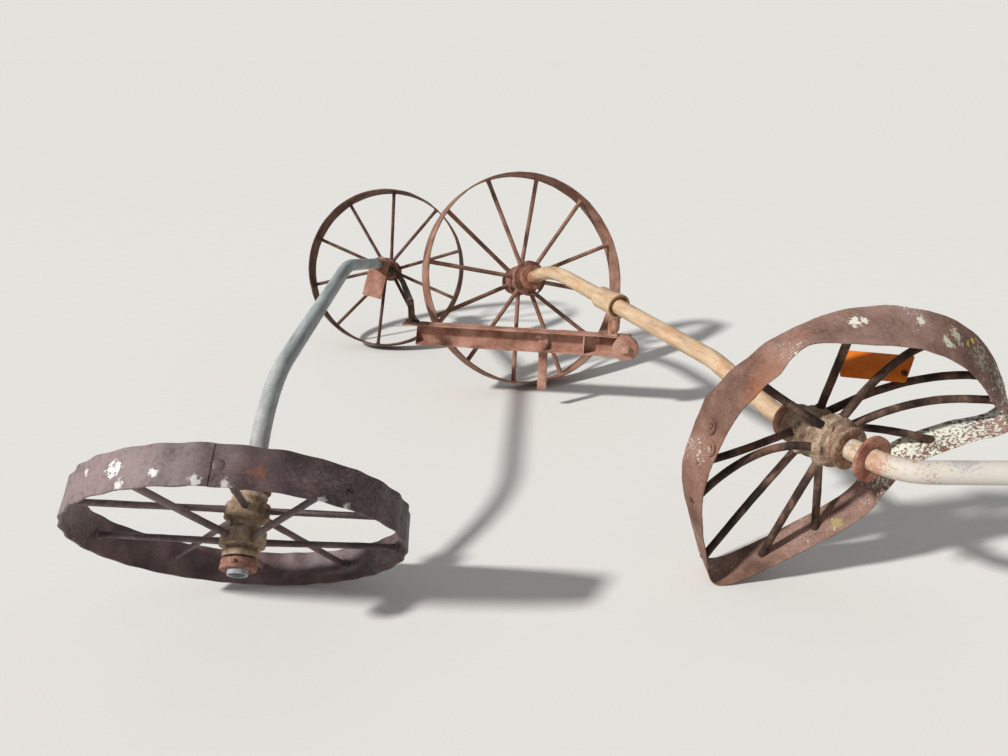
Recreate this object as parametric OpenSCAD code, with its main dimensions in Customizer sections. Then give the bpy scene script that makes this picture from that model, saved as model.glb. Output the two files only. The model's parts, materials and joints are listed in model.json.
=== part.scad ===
// Running gear of an old hay rake: two bent pipe axles, four spoked steel wheels and a low tool beam.
// Millimetres. +X is to the right of the view, +Y away from it, +Z up. The origin lies on the ground.
// An axle end is given by the plan angle of its line and by its rise towards the front (-Y).

/* [Rear right wheel] */
// Plan place of the hub, across and along
rr_place = [-47, 663]; // [-1500:1:1500]
// Plan angle of the hub's axis
rr_turn = 24.4; // [16:0.1:30]
// Rise of the hub's axis towards the front
rr_rise = 20.1; // [12:0.1:28]
// Outer radius of the rim
rr_radius = 508; // [450:1:560]
// Number of spokes
rr_spokes = 12; // [8:1:14]
// Distance of the hub's middle in front of the rim's middle
rr_hub_shift = -30; // [-60:1:0]

/* [Rear left wheel] */
// Plan place of the hub, across and along
rl_place = [-800, 1172]; // [-1500:1:1500]
// Plan angle of the hub's axis
rl_turn = -8; // [-15:0.1:0]
// Rise of the hub's axis towards the front
rl_rise = 23.1; // [15:0.1:32]
// Outer radius of the rim
rl_radius = 428; // [400:1:480]
// Number of spokes
rl_spokes = 10; // [8:1:12]
// Distance of the hub's middle in front of the rim's middle
rl_hub_shift = -50; // [-70:1:0]

/* [Front left wheel] */
// Plan place of the hub, across
fl_across = -823; // [-1500:1:1500]
// Distance of both left hubs along the machine
left_span = 2413; // [2200:1:2600]
// Plan angle of the hub's axis
fl_turn = 0.2; // [-5:0.1:8]
// Rise of the hub's axis towards the front
fl_rise = -37.8; // [-42:0.1:-28]
// Outer radius of the rim
fl_radius = 425; // [400:1:480]
// Number of spokes
fl_spokes = 10; // [8:1:12]
// Height of the ripples beaten into both edges of the rim
ripple = 3.5; // [0:0.5:6]
// Number of ripples between two spokes
ripples_each = 3; // [2:1:4]

/* [Front right wheel, buckled] */
// Height of the hub above the place where a true wheel would carry it
fr_lift = 14; // [0:1:30]
// Plan place of the hub, across
fr_across = 732; // [-1500:1:1500]
// Distance of both right hubs along the machine
right_span = 1695; // [1500:1:1900]
// Rise of the hub's axis towards the front
fr_rise = 3.5; // [-4:0.5:6]
// Plan angle of the line square to the buckled rim
buckle_turn = 3.2; // [-6:0.1:12]
// Rise of the line square to the buckled rim
buckle_rise = -9.1; // [-14:0.1:-4]
// Share of the spokes' upward bow that is kept
spoke_bow = 1; // [0:0.05:1.2]

/* [Rims and spokes] */
// Width of the three true rims
rim_width = 100; // [90:1:115]
// Width of the buckled rim
buckle_width = 115; // [100:1:130]
// Thickness of the rim bands
rim_wall = 7; // [5:0.5:10]
// Spoke diameter of the rear right wheel
thick_spoke = 20; // [16:0.5:24]
// Spoke diameter of both left wheels
thin_spoke = 17; // [14:0.5:20]
// Spoke diameter of the front right wheel
bent_spoke = 22; // [18:0.5:26]

/* [Hubs] */
// Hub length of the front right wheel
long_hub = 200; // [180:1:210]
// Hub length of the three true wheels
short_hub = 170; // [166:1:190]
// Radius of the two spoke flanges of a right hub
right_flange_radius = 72; // [66:1:80]
// Radius of the two spoke flanges of a left hub
left_flange_radius = 58; // [52:1:64]
// Width of a spoke flange
flange_width = 42; // [36:1:46]
// Running gap round the pipe in each hub
hub_clearance = 1; // [0.6:0.1:1.5]
// Gap between a hub and the collar beside it
end_gap = 5; // [3:0.5:8]

/* [Pipes] */
// Outer diameter of the left axle pipe
left_pipe = 52; // [48:0.1:60]
// Wall of the left axle pipe
left_wall = 3.9; // [3:0.1:6]
// Outer diameter of both right axle pipes
main_pipe = 60.3; // [57:0.1:70]
// Wall of both right axle pipes
main_wall = 4.5; // [4:0.1:7]
// Outer diameter of the sleeve where both right pipes meet
sleeve_pipe = 88.9; // [82:0.1:100]
// Gap between pieces that slide over each other and have rusted fast
slip_gap = 0.3; // [0.2:0.05:0.5]
// Height of the left axle's highest bend
left_crown = 677; // [640:1:700]
// Length of the outer right leg, up to its coupling
outer_leg = 250; // [180:1:300]

/* [Tool beam] */
// Plan place of the beam's left end
beam_place = [-600, 330]; // [-800:1:800]
// Length of the beam
beam_length = 1010; // [900:1:1100]
// Depth of the beam
beam_depth = 97; // [90:1:120]
// Height of the beam's lower edge at its left end
beam_height = 302; // [250:1:330]
// Slope of the beam down to the right
beam_slope = 1.2; // [0:0.1:3]
// Plan angle of the beam, its right end nearer the front
beam_turn = -7; // [-14:0.1:-4]
// Thickness of the beam's web and flanges
beam_wall = 8; // [6:0.5:10]
// Depth of the flanges from front to back
beam_flange = 50; // [40:1:60]

/* [Hidden] */
$fn = 48;

// Unit vector of an axle end
function axle(turn, rise) = [sin(turn) * cos(rise), -cos(turn) * cos(rise), sin(rise)];
// Height of a hub whose tilted rim stands on the ground
function hub_height(radius, rise) = radius * cos(rise) + rim_width / 2 * abs(sin(rise));
function unit(v) = v / norm(v);
function across(turn) = [cos(turn), sin(turn), 0];
function upward(turn, rise) = cross(axle(turn, rise), across(turn));

// Points of the buckled rim's far edge, seen along its axle: across, up, and how far the near edge lies inside
buckle = [
    [530, 100, 40], [482, 185, 75], [410, 270, 78], [332, 328, 74], [242, 366, 66], [150, 384, 56],
    [42, 387, 48], [-50, 368, 24], [-130, 328, -16], [-206, 280, 18], [-268, 224, 38], [-318, 148, 42],
    [-344, 50, 38], [-360, -54, 34], [-360, -155, 30], [-330, -270, 16], [-292, -380, 6], [-250, -490, 0],
    [-190, -505, 0], [-97, -453, 0], [12, -374, 0], [110, -296, 0], [172, -226, 0], [206, -140, 0],
    [262, -52, 6], [390, 5, 12], [500, 36, 24]];
turns = len(buckle);
steps = 3;
stations = turns * steps;
// Point at share t between p1 and p2 on the smooth curve through four points
function smooth_point(p0, p1, p2, p3, t) =
    0.5 * (2 * p1 + t * (p2 - p0) + t * t * (2 * p0 - 5 * p1 + 4 * p2 - p3)
        + t * t * t * (3 * p1 - p0 - 3 * p2 + p3));
function buckled(i) = let (k = floor(i / steps) + turns, t = (i % steps) / steps)
    smooth_point(buckle[(k - 1) % turns], buckle[k % turns], buckle[(k + 1) % turns],
        buckle[(k + 2) % turns], t);
function flat(p) = [p.x, p.y];
// Direction into the wheel, square to the curve at station i
function inward(i) = let (d = unit(flat(buckled((i + 1) % stations)) - flat(buckled((i + stations - 1) % stations))))
    [-d.y, d.x];
// Place of a rim point: plan of the curve, distance along the square line
function in_buckle(p, along) = p.x * across(buckle_turn) + p.y * upward(buckle_turn, buckle_rise)
    + along * axle(buckle_turn, buckle_rise);
// The four corners of the buckled band at station i, from the hub's centre
function far_edge(i) = in_buckle(flat(buckled(i)), -buckle_width / 2);
function near_edge(i) = in_buckle(flat(buckled(i)) + buckled(i)[2] * inward(i), buckle_width / 2);
function far_inside(i) = in_buckle(flat(buckled(i)) + rim_wall * inward(i), -buckle_width / 2);
function near_inside(i) = in_buckle(flat(buckled(i)) + (buckled(i)[2] + rim_wall) * inward(i), buckle_width / 2);

// Centres of the four hubs
fl_place = [fl_across, rl_place.y - left_span];
fr_place = [fr_across, rr_place.y - right_span];
rr_hub = [rr_place.x, rr_place.y, hub_height(rr_radius, rr_rise)];
rl_hub = [rl_place.x, rl_place.y, hub_height(rl_radius, rl_rise)];
fl_hub = [fl_place.x, fl_place.y, hub_height(fl_radius + ripple, fl_rise)];
fr_height = -min([for (i = [0:stations - 1]) min(far_edge(i).z, near_edge(i).z)]);
fr_middle = [fr_place.x, fr_place.y, fr_height];
fr_hub = fr_middle + [0, 0, fr_lift];

// Lengths along an axle end, from the hub's centre
cap_collar = 26;
collar = 28;
right_seat = long_hub / 2 + end_gap;
left_seat = short_hub / 2 + end_gap;
rr_front = left_seat + rr_hub_shift;
rr_back = left_seat - rr_hub_shift;
rl_front = left_seat + rl_hub_shift;
rl_back = left_seat - rl_hub_shift;
cap_overhang = 12;
pipe_over = cap_collar + cap_overhang;

// Route of the left axle pipe: its end, bends and other end
rl_axle = axle(rl_turn, rl_rise);
fl_axle = axle(fl_turn, fl_rise);
left_bend = 150;
crown_bend = 800;
front_bend = 600;
rear_collar = 74;
arm_ring = 28;
left_knee = 24;
left_lead = rl_front + arm_ring + beam_wall + rear_collar + left_knee;
front_lead = 418;
left_top = [(rl_place.x + fl_place.x) / 2, rl_place.y - 0.39 * left_span, left_crown];
left_route = [rl_hub - (rl_back + pipe_over) * rl_axle, rl_hub + left_lead * rl_axle, left_top,
    fl_hub - front_lead * fl_axle, fl_hub + (left_seat + pipe_over) * fl_axle];
left_bends = [0, left_bend, crown_bend, front_bend, 0];

// Route of the right axle: cranked pipe, then main pipe
rr_axle = axle(rr_turn, rr_rise);
crank_bend = 600;
crank_kink = 4.5;
crank_start = rr_hub + (rr_front + collar + 20) * rr_axle;
crank_knee = crank_start + 185 * axle(rr_turn, rr_rise + crank_kink);
run_fall = 1.4;
fr_turn = atan2(fr_place.x - crank_knee.x, crank_knee.y - fr_place.y);
fr_axle = axle(fr_turn, fr_rise);
plateau = axle(fr_turn, -run_fall);
sleeve_start = 420;
sleeve_length = 137;
sleeve_mouth = 22;
crank_length = sleeve_start + sleeve_length / 2;
main_start = crank_length + slip_gap;
crank_route = [rr_hub - (rr_back + pipe_over) * rr_axle, crank_start, crank_knee,
    crank_knee + crank_length * plateau];
kink_bend = 150;
crank_bends = [0, kink_bend, crank_bend, 0];
drop_bend = 260;
drop_lead = right_seat + collar + 40;
drop_run = 300;
drop_low = fr_hub - drop_lead * fr_axle;
run_length = (norm(fr_place - [crank_knee.x, crank_knee.y]) - drop_lead * cos(fr_rise) - drop_run) / cos(run_fall);
drop_high = crank_knee + run_length * plateau;
drop_way = unit(drop_low - drop_high);
disc_width = 12;
disc_neck = 22;
washer_width = 12;
washer_lead = right_seat + 55;
turn_bend = 150;
turn_lead = washer_lead + washer_width + 78;
turn_corner = fr_hub + turn_lead * fr_axle;
outer_turn = 77;
outer_rise = 7;
outer_axle = axle(outer_turn, outer_rise);
coupling_length = 80;
stop_width = 4;
pipe_stop = stop_width + slip_gap;
main_route = [crank_knee + main_start * plateau, drop_high, drop_low, turn_corner,
    turn_corner + (outer_leg + coupling_length / 2 - pipe_stop) * outer_axle];
main_bends = [0, drop_bend, drop_bend, turn_bend, 0];

// Section of the front left rim, whose edges are beaten into ripples
ripple_steps = 4;
ripple_count = fl_spokes * ripples_each * ripple_steps;
function rippled(i) = let (out = fl_radius + ripple * sin(360 * i / ripple_steps),
    e = [cos(360 * i / ripple_count), sin(360 * i / ripple_count), 0], half = [0, 0, rim_width / 2])
    [(out - rim_wall) * e - half, out * e - half, out * e + half, (out - rim_wall) * e + half];
function in_view(p, turn, rise) = p.x * across(turn) + p.y * upward(turn, rise) + p.z * axle(turn, rise);

// The machine's plan is centred on the origin
function rim_reach(radius, a, j) = radius * sqrt(1 - a[j] * a[j]) + rim_width / 2 * abs(a[j]);
rippled_points = [for (i = [0:ripple_count - 1]) for (p = rippled(i)) fl_hub + in_view(p, fl_turn, fl_rise)];
buckled_points = [for (i = [0:stations - 1]) for (p = [far_edge(i), near_edge(i)]) fr_middle + p];
coupling_radius = main_pipe / 2 + 8;
coupling_edge = turn_corner.x + (outer_leg + coupling_length) * outer_axle.x
    + coupling_radius * sqrt(1 - outer_axle.x * outer_axle.x);
x_low = min(rl_hub.x - rim_reach(rl_radius, rl_axle, 0), min([for (p = rippled_points) p.x]));
x_high = max(coupling_edge, max([for (p = buckled_points) p.x]));
y_low = min([for (p = rippled_points) p.y]);
y_high = rl_hub.y + rim_reach(rl_radius, rl_axle, 1);
module centred() {
    translate([-(x_low + x_high) / 2, -(y_low + y_high) / 2, 0])
        children();
}

// Turns the z axis to direction d
module aim(d) {
    rotate([0, acos(d.z / norm(d)), atan2(d.y, d.x)])
        children();
}
// Puts children on a hub: z along the axle, x level
module at_hub(centre, turn, rise) {
    translate(centre)
        rotate([90 - rise, 0, turn])
            children();
}
// Turns y to direction d and x to e, which is square to d
module start_bend(d, e) {
    lean = acos(d.z);
    swing = atan2(d.y, d.x);
    spin = atan2(e.y * cos(swing) - e.x * sin(swing),
        cos(lean) * (e.x * cos(swing) + e.y * sin(swing)) - e.z * sin(lean));
    aim(d)
        rotate([90, 0, spin])
            children();
}
// Round bar along a route with rounded corners, both ends longer by extra. The bending die leaves a low
// ridge at both ends of each bend.
ridge = 0.4;
ridge_width = 5;
module bar(route, bends, radius, extra = 0) {
    last = len(route) - 1;
    turn_at = [for (i = [0:last]) i == 0 || i == last ? 0
        : acos(unit(route[i] - route[i - 1]) * unit(route[i + 1] - route[i]))];
    cut = [for (i = [0:last]) bends[i] * tan(turn_at[i] / 2)];
    for (i = [0:last - 1]) {
        d = unit(route[i + 1] - route[i]);
        start = i == 0 ? -extra : cut[i];
        stop = norm(route[i + 1] - route[i]) + (i == last - 1 ? extra : -cut[i + 1]);
        translate(route[i] + start * d)
            aim(d)
                cylinder(h = stop - start, r = radius);
    }
    for (i = [1:last - 1]) {
        d = unit(route[i] - route[i - 1]);
        e = unit(route[i + 1] - route[i]);
        centre = route[i] + unit(e - d) * bends[i] / cos(turn_at[i] / 2);
        translate(centre)
            start_bend(d, (route[i] - cut[i] * d - centre) / bends[i])
                rotate_extrude(angle = turn_at[i])
                    translate([bends[i], 0])
                        circle(r = radius);
        for (end = [[route[i] - cut[i] * d, d], [route[i] + cut[i] * e, e]])
            translate(end[0] - ridge_width / 2 * end[1])
                aim(end[1])
                    cylinder(h = ridge_width, r = radius + ridge);
    }
}
// Pipe along a route
module pipe(route, bends, outer, wall) {
    difference() {
        bar(route, bends, outer / 2);
        bar(route, bends, outer / 2 - wall, 1);
    }
}
// Ring round an axle end, from height z
module ring(z, height, outer, bore) {
    translate([0, 0, z])
        difference() {
            cylinder(h = height, r = outer);
            translate([0, 0, -1])
                cylinder(h = height + 2, r = bore);
        }
}
left_bore = left_pipe / 2 + slip_gap;
main_bore = main_pipe / 2 + slip_gap;

module left_axle_pipe() {
    color("lightslategray") centred()
        pipe(left_route, left_bends, left_pipe, left_wall);
}
module left_rear_cap_collar() {
    color("saddlebrown") centred()
        at_hub(rl_hub, rl_turn, rl_rise)
            ring(-rl_back - cap_collar, cap_collar, 46, left_bore);
}
module left_rear_collar() {
    color("saddlebrown") centred()
        at_hub(rl_hub, rl_turn, rl_rise)
            ring(rl_front + arm_ring + beam_wall, rear_collar, 36, left_bore);
}
module left_front_collar() {
    color("saddlebrown") centred()
        at_hub(fl_hub, fl_turn, fl_rise)
            ring(-left_seat - collar, collar, 52, left_bore);
}
module left_front_cap_collar() {
    color("saddlebrown") centred()
        at_hub(fl_hub, fl_turn, fl_rise)
            ring(left_seat, cap_collar, 46, left_bore);
}
module right_crank_pipe() {
    color("tan") centred()
        pipe(crank_route, crank_bends, main_pipe, main_wall);
}
hanger_ring = 26;
hanger_wall = 6;
mouth_wall = 4;
module right_sleeve() {
    color("peru") centred()
        translate(crank_knee + sleeve_start * plateau)
            aim(plateau)
                difference() {
                    ring(0, sleeve_length, sleeve_pipe / 2, main_bore);
                    translate([0, 0, sleeve_length - sleeve_mouth])
                        cylinder(h = sleeve_mouth + 1, r = sleeve_pipe / 2 - mouth_wall);
                }
}
module right_main_pipe() {
    color("tan") centred()
        pipe(main_route, main_bends, main_pipe, main_wall);
}
module right_rear_cap_collar() {
    color("saddlebrown") centred()
        at_hub(rr_hub, rr_turn, rr_rise)
            ring(-rr_back - cap_collar, cap_collar, 62, main_bore);
}
module right_rear_collar() {
    color("saddlebrown") centred()
        at_hub(rr_hub, rr_turn, rr_rise)
            ring(rr_front, collar, 58, main_bore);
}
module right_disc_collar() {
    color("saddlebrown") centred()
        translate((drop_high + drop_low) / 2)
            aim(drop_way) {
                ring(0, disc_width, main_pipe / 2 + 38, main_bore);
                ring(-disc_neck, disc_neck, main_pipe / 2 + 12, main_bore);
            }
}
module right_front_collar() {
    color("saddlebrown") centred()
        at_hub(fr_hub, fr_turn, fr_rise)
            ring(-right_seat - collar, collar, 54, main_bore);
}
module right_washer() {
    color("sienna") centred()
        at_hub(fr_hub, fr_turn, fr_rise)
            ring(washer_lead, washer_width, main_pipe / 2 + 34, main_bore);
}
socket_bore = main_pipe / 2 + 0.5;
module right_coupling() {
    color("peru") centred()
        translate(turn_corner + outer_leg * outer_axle)
            aim(outer_axle)
                difference() {
                    cylinder(h = coupling_length, r = coupling_radius);
                    translate([0, 0, -1])
                        cylinder(h = coupling_length / 2 - stop_width + 1, r = main_bore);
                    translate([0, 0, -1])
                        cylinder(h = coupling_length + 2, r = main_pipe / 2 - main_wall);
                    translate([0, 0, coupling_length / 2])
                        cylinder(h = coupling_length / 2 + 1, r = socket_bore);
                }
}

// Tool beam, its x along the beam, z up, y to the back
module on_beam() {
    translate([beam_place.x, beam_place.y, beam_height])
        rotate([0, beam_slope, beam_turn])
            children();
}
beam_nose = 60;
module tool_beam() {
    color("brown") centred()
        on_beam()
            difference() {
                translate([0, -beam_flange, 0])
                    cube([beam_length, beam_flange, beam_depth]);
                translate([-1, -beam_flange - 1, beam_wall])
                    cube([beam_length + 2, beam_flange - beam_wall + 1, beam_depth - 2 * beam_wall]);
                translate([shank_place - slip_gap, -beam_wall - shank_wall - slip_gap, -1])
                    cube([shank_width + 2 * slip_gap, shank_wall + slip_gap, beam_wall + 2]);
                rotate([90, 0, 0])
                    translate([0, 0, -1])
                        linear_extrude(beam_flange + 2)
                            polygon([[-1, -1], [beam_nose, -1], [beam_nose, beam_depth - 3 * beam_wall],
                                [-1, beam_depth - beam_wall]]);
            }
}
rib_place = 803;
module beam_rib() {
    color("brown") centred()
        on_beam()
            translate([rib_place, -beam_flange, beam_wall])
                cube([beam_wall, beam_flange - beam_wall, beam_depth - 2 * beam_wall]);
}
disc_place = beam_length - 22;
disc_radius_end = 57;
disc_back = beam_flange - beam_wall + slip_gap;
module beam_end_disc() {
    color("brown") centred()
        on_beam()
            translate([disc_place, -beam_wall, beam_depth / 2])
                rotate([90, 0, 0]) {
                    cylinder(h = disc_back + 36, r = 13);
                    translate([0, 0, disc_back])
                        cylinder(h = 12, r = disc_radius_end);
                    translate([-17, -17, disc_back + 12])
                        cube([34, 34, 16]);
                }
}
shank_place = 610;
shank_width = 42;
shank_wall = 12;
shank_reach = 190;
module shank() {
    color("brown") centred()
        on_beam()
            translate([shank_place, -beam_wall - shank_wall, -shank_reach])
                cube([shank_width, shank_wall, shank_reach + beam_depth - beam_wall]);
}
// Directions and points of the beam's own frame
beam_x = [cos(beam_turn) * cos(beam_slope), sin(beam_turn) * cos(beam_slope), -sin(beam_slope)];
beam_y = [-sin(beam_turn), cos(beam_turn), 0];
beam_z = cross(beam_x, beam_y);
function beam_point(x, y, z) = [beam_place.x, beam_place.y, beam_height] + x * beam_x + y * beam_y + z * beam_z;
// Bar that ends in a foot on the beam's upper flange, at distance x
leg_bar = 14;
foot_wall = 8;
module beam_leg(route, bends, x) {
    foot = beam_point(x, -beam_flange / 2, beam_depth);
    bar(concat(route, [foot + 90 * beam_z, foot + foot_wall / 2 * beam_z]), concat(bends, [45, 0]), leg_bar);
    on_beam()
        translate([x - 30, -beam_flange, beam_depth])
            cube([60, beam_flange, foot_wall]);
}
// Curved arm from the rear end of the left axle to the beam
arm_radius = 48;
arm_centre = rl_hub + (rl_front + arm_ring / 2) * rl_axle;
arm_side = across(rl_turn);
module left_arm() {
    color("brown") centred()
        difference() {
            union() {
                at_hub(rl_hub, rl_turn, rl_rise)
                    translate([0, 0, rl_front])
                        cylinder(h = arm_ring, r = arm_radius);
                beam_leg([arm_centre + 44 * arm_side, arm_centre + 110 * arm_side - [0, 50, 60]], [0, 60], 40);
            }
            at_hub(rl_hub, rl_turn, rl_rise)
                cylinder(h = left_lead, r = left_bore);
        }
}
// Hanger from the sleeve down to the beam
hanger_centre = crank_knee + (sleeve_start + sleeve_length - hanger_ring / 2) * plateau;
module right_hanger() {
    color("brown") centred()
        difference() {
            union() {
                translate(hanger_centre - hanger_ring / 2 * plateau)
                    aim(plateau)
                        cylinder(h = hanger_ring, r = sleeve_pipe / 2 + hanger_wall);
                beam_leg([hanger_centre - [0, 0, 50], hanger_centre - [0, 0, 100]], [0, 25], beam_length - 90);
            }
            translate(crank_knee + sleeve_start * plateau)
                aim(plateau)
                    cylinder(h = sleeve_length + 60, r = sleeve_pipe / 2 + slip_gap);
        }
}
// Five-sided plate on the left axle, points given to the right of the pipe and above it
plate_outline = [[-5, 58], [42, 15], [2, -180], [-104, -158], [-70, 0]];
module shield_plate() {
    color("brown") centred()
        at_hub(rl_hub, rl_turn, rl_rise)
            translate([0, 0, rl_front + arm_ring])
                difference() {
                    linear_extrude(beam_wall)
                        polygon(plate_outline);
                    translate([0, 0, -1])
                        cylinder(h = beam_wall + 2, r = left_bore);
                }
}

// Angle of the first spoke of each rear wheel
rr_first = 14;
rl_first = 15;
// Rim of a true wheel
module true_rim(radius) {
    ring(-rim_width / 2, rim_width, radius, radius - rim_wall);
}
// Straight spokes from the two hub flanges to the middle of the rim
spoke_seat = 38;
spoke_depth = 8;
module true_spokes(radius, flange, count, thick, first, shift) {
    inner = radius - rim_wall;
    reach = inner + 4 - flange + spoke_depth;
    difference() {
        intersection() {
            for (k = [0:count - 1])
                let (root = shift + (k % 2 == 0 ? -spoke_seat : spoke_seat))
                    rotate([0, 0, first + 360 * k / count])
                        translate([flange - spoke_depth, 0, root])
                            aim([reach, 0, -root])
                                cylinder(h = norm([reach, root]), r = thick / 2);
            translate([0, 0, -short_hub])
                cylinder(h = 2 * short_hub, r = inner);
        }
        translate([0, 0, -short_hub - 1])
            cylinder(h = 2 * short_hub + 2, r = flange);
    }
}
// Cast hub: barrel, two spoke flanges and rounded end rings
module cast_hub(length, flange, bore) {
    half = length / 2;
    waist = flange - 18;
    lip = flange - 12;
    rotate_extrude()
        polygon([[bore, -half], [lip, -half], [lip, -half + 14], [waist, -half + 22],
            [waist, -spoke_seat - flange_width / 2], [flange, -spoke_seat - flange_width / 2],
            [flange, -spoke_seat + flange_width / 2], [waist, -spoke_seat + flange_width / 2 + 6],
            [waist, spoke_seat - flange_width / 2 - 6], [flange, spoke_seat - flange_width / 2],
            [flange, spoke_seat + flange_width / 2], [waist, spoke_seat + flange_width / 2],
            [waist, half - 22], [lip, half - 14], [lip, half], [bore, half]]);
}
module rear_right_rim() {
    color("indianred") centred()
        at_hub(rr_hub, rr_turn, rr_rise)
            true_rim(rr_radius);
}
module rear_right_spokes() {
    color("indianred") centred()
        at_hub(rr_hub, rr_turn, rr_rise)
            true_spokes(rr_radius, right_flange_radius, rr_spokes, thick_spoke, rr_first, rr_hub_shift);
}
// Slotted disc cast on the front of the rear right hub
disc_radius = 84;
disc_wall = 18;
slot_starts = [105, 250];
slot_angle = 55;
slot_width = 12;
module rear_right_hub() {
    color("sienna") centred()
        at_hub(rr_hub, rr_turn, rr_rise)
            translate([0, 0, rr_hub_shift])
                difference() {
                    union() {
                        cast_hub(short_hub, right_flange_radius, main_pipe / 2 + hub_clearance);
                        ring(short_hub / 2 - disc_wall, disc_wall, disc_radius, right_flange_radius - 18);
                    }
                    for (start = slot_starts)
                        rotate([0, 0, start])
                            translate([0, 0, short_hub / 2 - disc_wall - 1])
                                rotate_extrude(angle = slot_angle)
                                    translate([right_flange_radius - 8, 0])
                                        square([slot_width, disc_wall + 2]);
                }
}
module rear_left_rim() {
    color("indianred") centred()
        at_hub(rl_hub, rl_turn, rl_rise)
            true_rim(rl_radius);
}
module rear_left_spokes() {
    color("indianred") centred()
        at_hub(rl_hub, rl_turn, rl_rise)
            true_spokes(rl_radius, left_flange_radius, rl_spokes, thin_spoke, rl_first, rl_hub_shift);
}
module rear_left_hub() {
    color("sienna") centred()
        at_hub(rl_hub, rl_turn, rl_rise)
            translate([0, 0, rl_hub_shift])
                cast_hub(short_hub, left_flange_radius, left_pipe / 2 + hub_clearance);
}
// Closed band through sections of four corners each
module band(sections) {
    count = len(sections);
    polyhedron(
        points = [for (s = sections) for (p = s) p],
        faces = [for (i = [0:count - 1]) for (j = [0:3])
            let (a = 4 * i + j, b = 4 * i + (j + 1) % 4,
                c = 4 * ((i + 1) % count) + (j + 1) % 4, d = 4 * ((i + 1) % count) + j)
                for (f = [[a, b, c], [a, c, d]]) f]);
}
module front_left_rim() {
    color("rosybrown") centred()
        at_hub(fl_hub, fl_turn, fl_rise)
            band([for (i = [0:ripple_count - 1]) rippled(i)]);
}
fl_first = 270 * ripple_steps / ripple_count;
module front_left_spokes() {
    color("rosybrown") centred()
        at_hub(fl_hub, fl_turn, fl_rise)
            true_spokes(fl_radius - ripple, left_flange_radius, fl_spokes, thin_spoke, fl_first, 0);
}
module front_left_hub() {
    color("sienna") centred()
        at_hub(fl_hub, fl_turn, fl_rise)
            cast_hub(short_hub, left_flange_radius, left_pipe / 2 + hub_clearance);
}
module buckled_band() {
    translate(fr_middle)
        band([for (i = [0:stations - 1]) [far_inside(i), near_inside(i), near_edge(i), far_edge(i)]]);
}
module front_right_rim() {
    color("sienna") centred()
        buckled_band();
}
// Bowed spokes: from a hub flange to the inside facet of the rim that lies at the same angle
bow_steps = 6;
bow_sides = 10;
function gap_of(a, b) = abs((a - b + 540) % 360 - 180);
function next(i) = (i + 1) % stations;
function facet_middle(i) = (far_inside(i) + near_inside(i) + far_inside(next(i)) + near_inside(next(i))) / 4;
function facet_normals(i) = let (a = far_inside(i), b = near_inside(i), c = near_inside(next(i)), d = far_inside(next(i)))
    [unit(cross(b - a, c - a)), unit(cross(c - a, d - a))];
function angle_at(i) = atan2(buckled(i).y + buckled(next(i)).y, buckled(i).x + buckled(next(i)).x);
function facet_at(a) = let (gaps = [for (i = [0:stations - 1]) gap_of(angle_at(i), a)]) search(min(gaps), gaps)[0];
// Columns: angle of the tip, angle of the root, flange towards the front or back, upward bow
bent_spokes = [
    [92, 70, -1, 3],
    [50, 70, 1, 62],
    [27, 45, -1, 40],
    [12, 30, 1, 45],
    [-3, 0, -1, 12],
    [-77, -50, -1, 0],
    [-101, -132, 1, 5],
    [-122, -138, -1, 5],
    [-148, -175, 1, 62],
    [-171, 165, -1, -6],
    [139, 128, 1, -4]];
last_spoke = len(bent_spokes) - 1;
spoke_facets = [for (row = bent_spokes) facet_at(row[0])];
function spoke_root(k) = let (a = bent_spokes[k][1])
    [0, 0, fr_lift] + (right_flange_radius - spoke_depth) * (cos(a) * across(fr_turn)
    + sin(a) * upward(fr_turn, fr_rise)) + bent_spokes[k][2] * spoke_seat * fr_axle;
function spoke_tip(k) = facet_middle(spoke_facets[k]);
function spoke_bend(k) = (spoke_root(k) + spoke_tip(k)) / 2 + [0, 0, 2 * spoke_bow * bent_spokes[k][3]];
function bow_point(k, t) = (1 - t) * (1 - t) * spoke_root(k) + 2 * t * (1 - t) * spoke_bend(k)
    + t * t * spoke_tip(k);
// Point p moved along d onto the facet under spoke k, less the seat's gap
function seated(k, p, d) = let (own = spoke_facets[k])
    p + d * (min([for (m = facet_normals(own)) (far_inside(own) - p) * m / (d * m)]) - slip_gap);
module bowed_spoke(k) {
    rings = [for (j = [0:bow_steps])
        let (t = j / bow_steps, d = unit(bow_point(k, t + 0.01) - bow_point(k, t - 0.01)),
            e = unit(cross(d, fr_axle)), f = cross(d, e))
            for (s = [0:bow_sides - 1])
                let (p = bow_point(k, t)
                    + bent_spoke / 2 * (cos(360 * s / bow_sides) * e + sin(360 * s / bow_sides) * f))
                    j == bow_steps ? seated(k, p, d) : p];
    polyhedron(
        points = rings,
        faces = concat([[for (s = [0:bow_sides - 1]) s]],
            [[for (s = [0:bow_sides - 1]) bow_steps * bow_sides + bow_sides - 1 - s]],
            [for (j = [0:bow_steps - 1]) for (s = [0:bow_sides - 1])
                let (a = j * bow_sides + s, b = j * bow_sides + (s + 1) % bow_sides)
                    for (g = [[a, a + bow_sides, b + bow_sides], [a, b + bow_sides, b]]) g]));
}
module front_right_spokes() {
    color("sienna") centred()
        difference() {
            translate(fr_middle)
                for (k = [0:last_spoke])
                    bowed_spoke(k);
            at_hub(fr_hub, fr_turn, fr_rise)
                translate([0, 0, -long_hub / 2])
                    cylinder(h = long_hub, r = right_flange_radius);
        }
}
module front_right_hub() {
    color("rosybrown") centred()
        at_hub(fr_hub, fr_turn, fr_rise)
            cast_hub(long_hub, right_flange_radius, main_pipe / 2 + hub_clearance);
}
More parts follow.
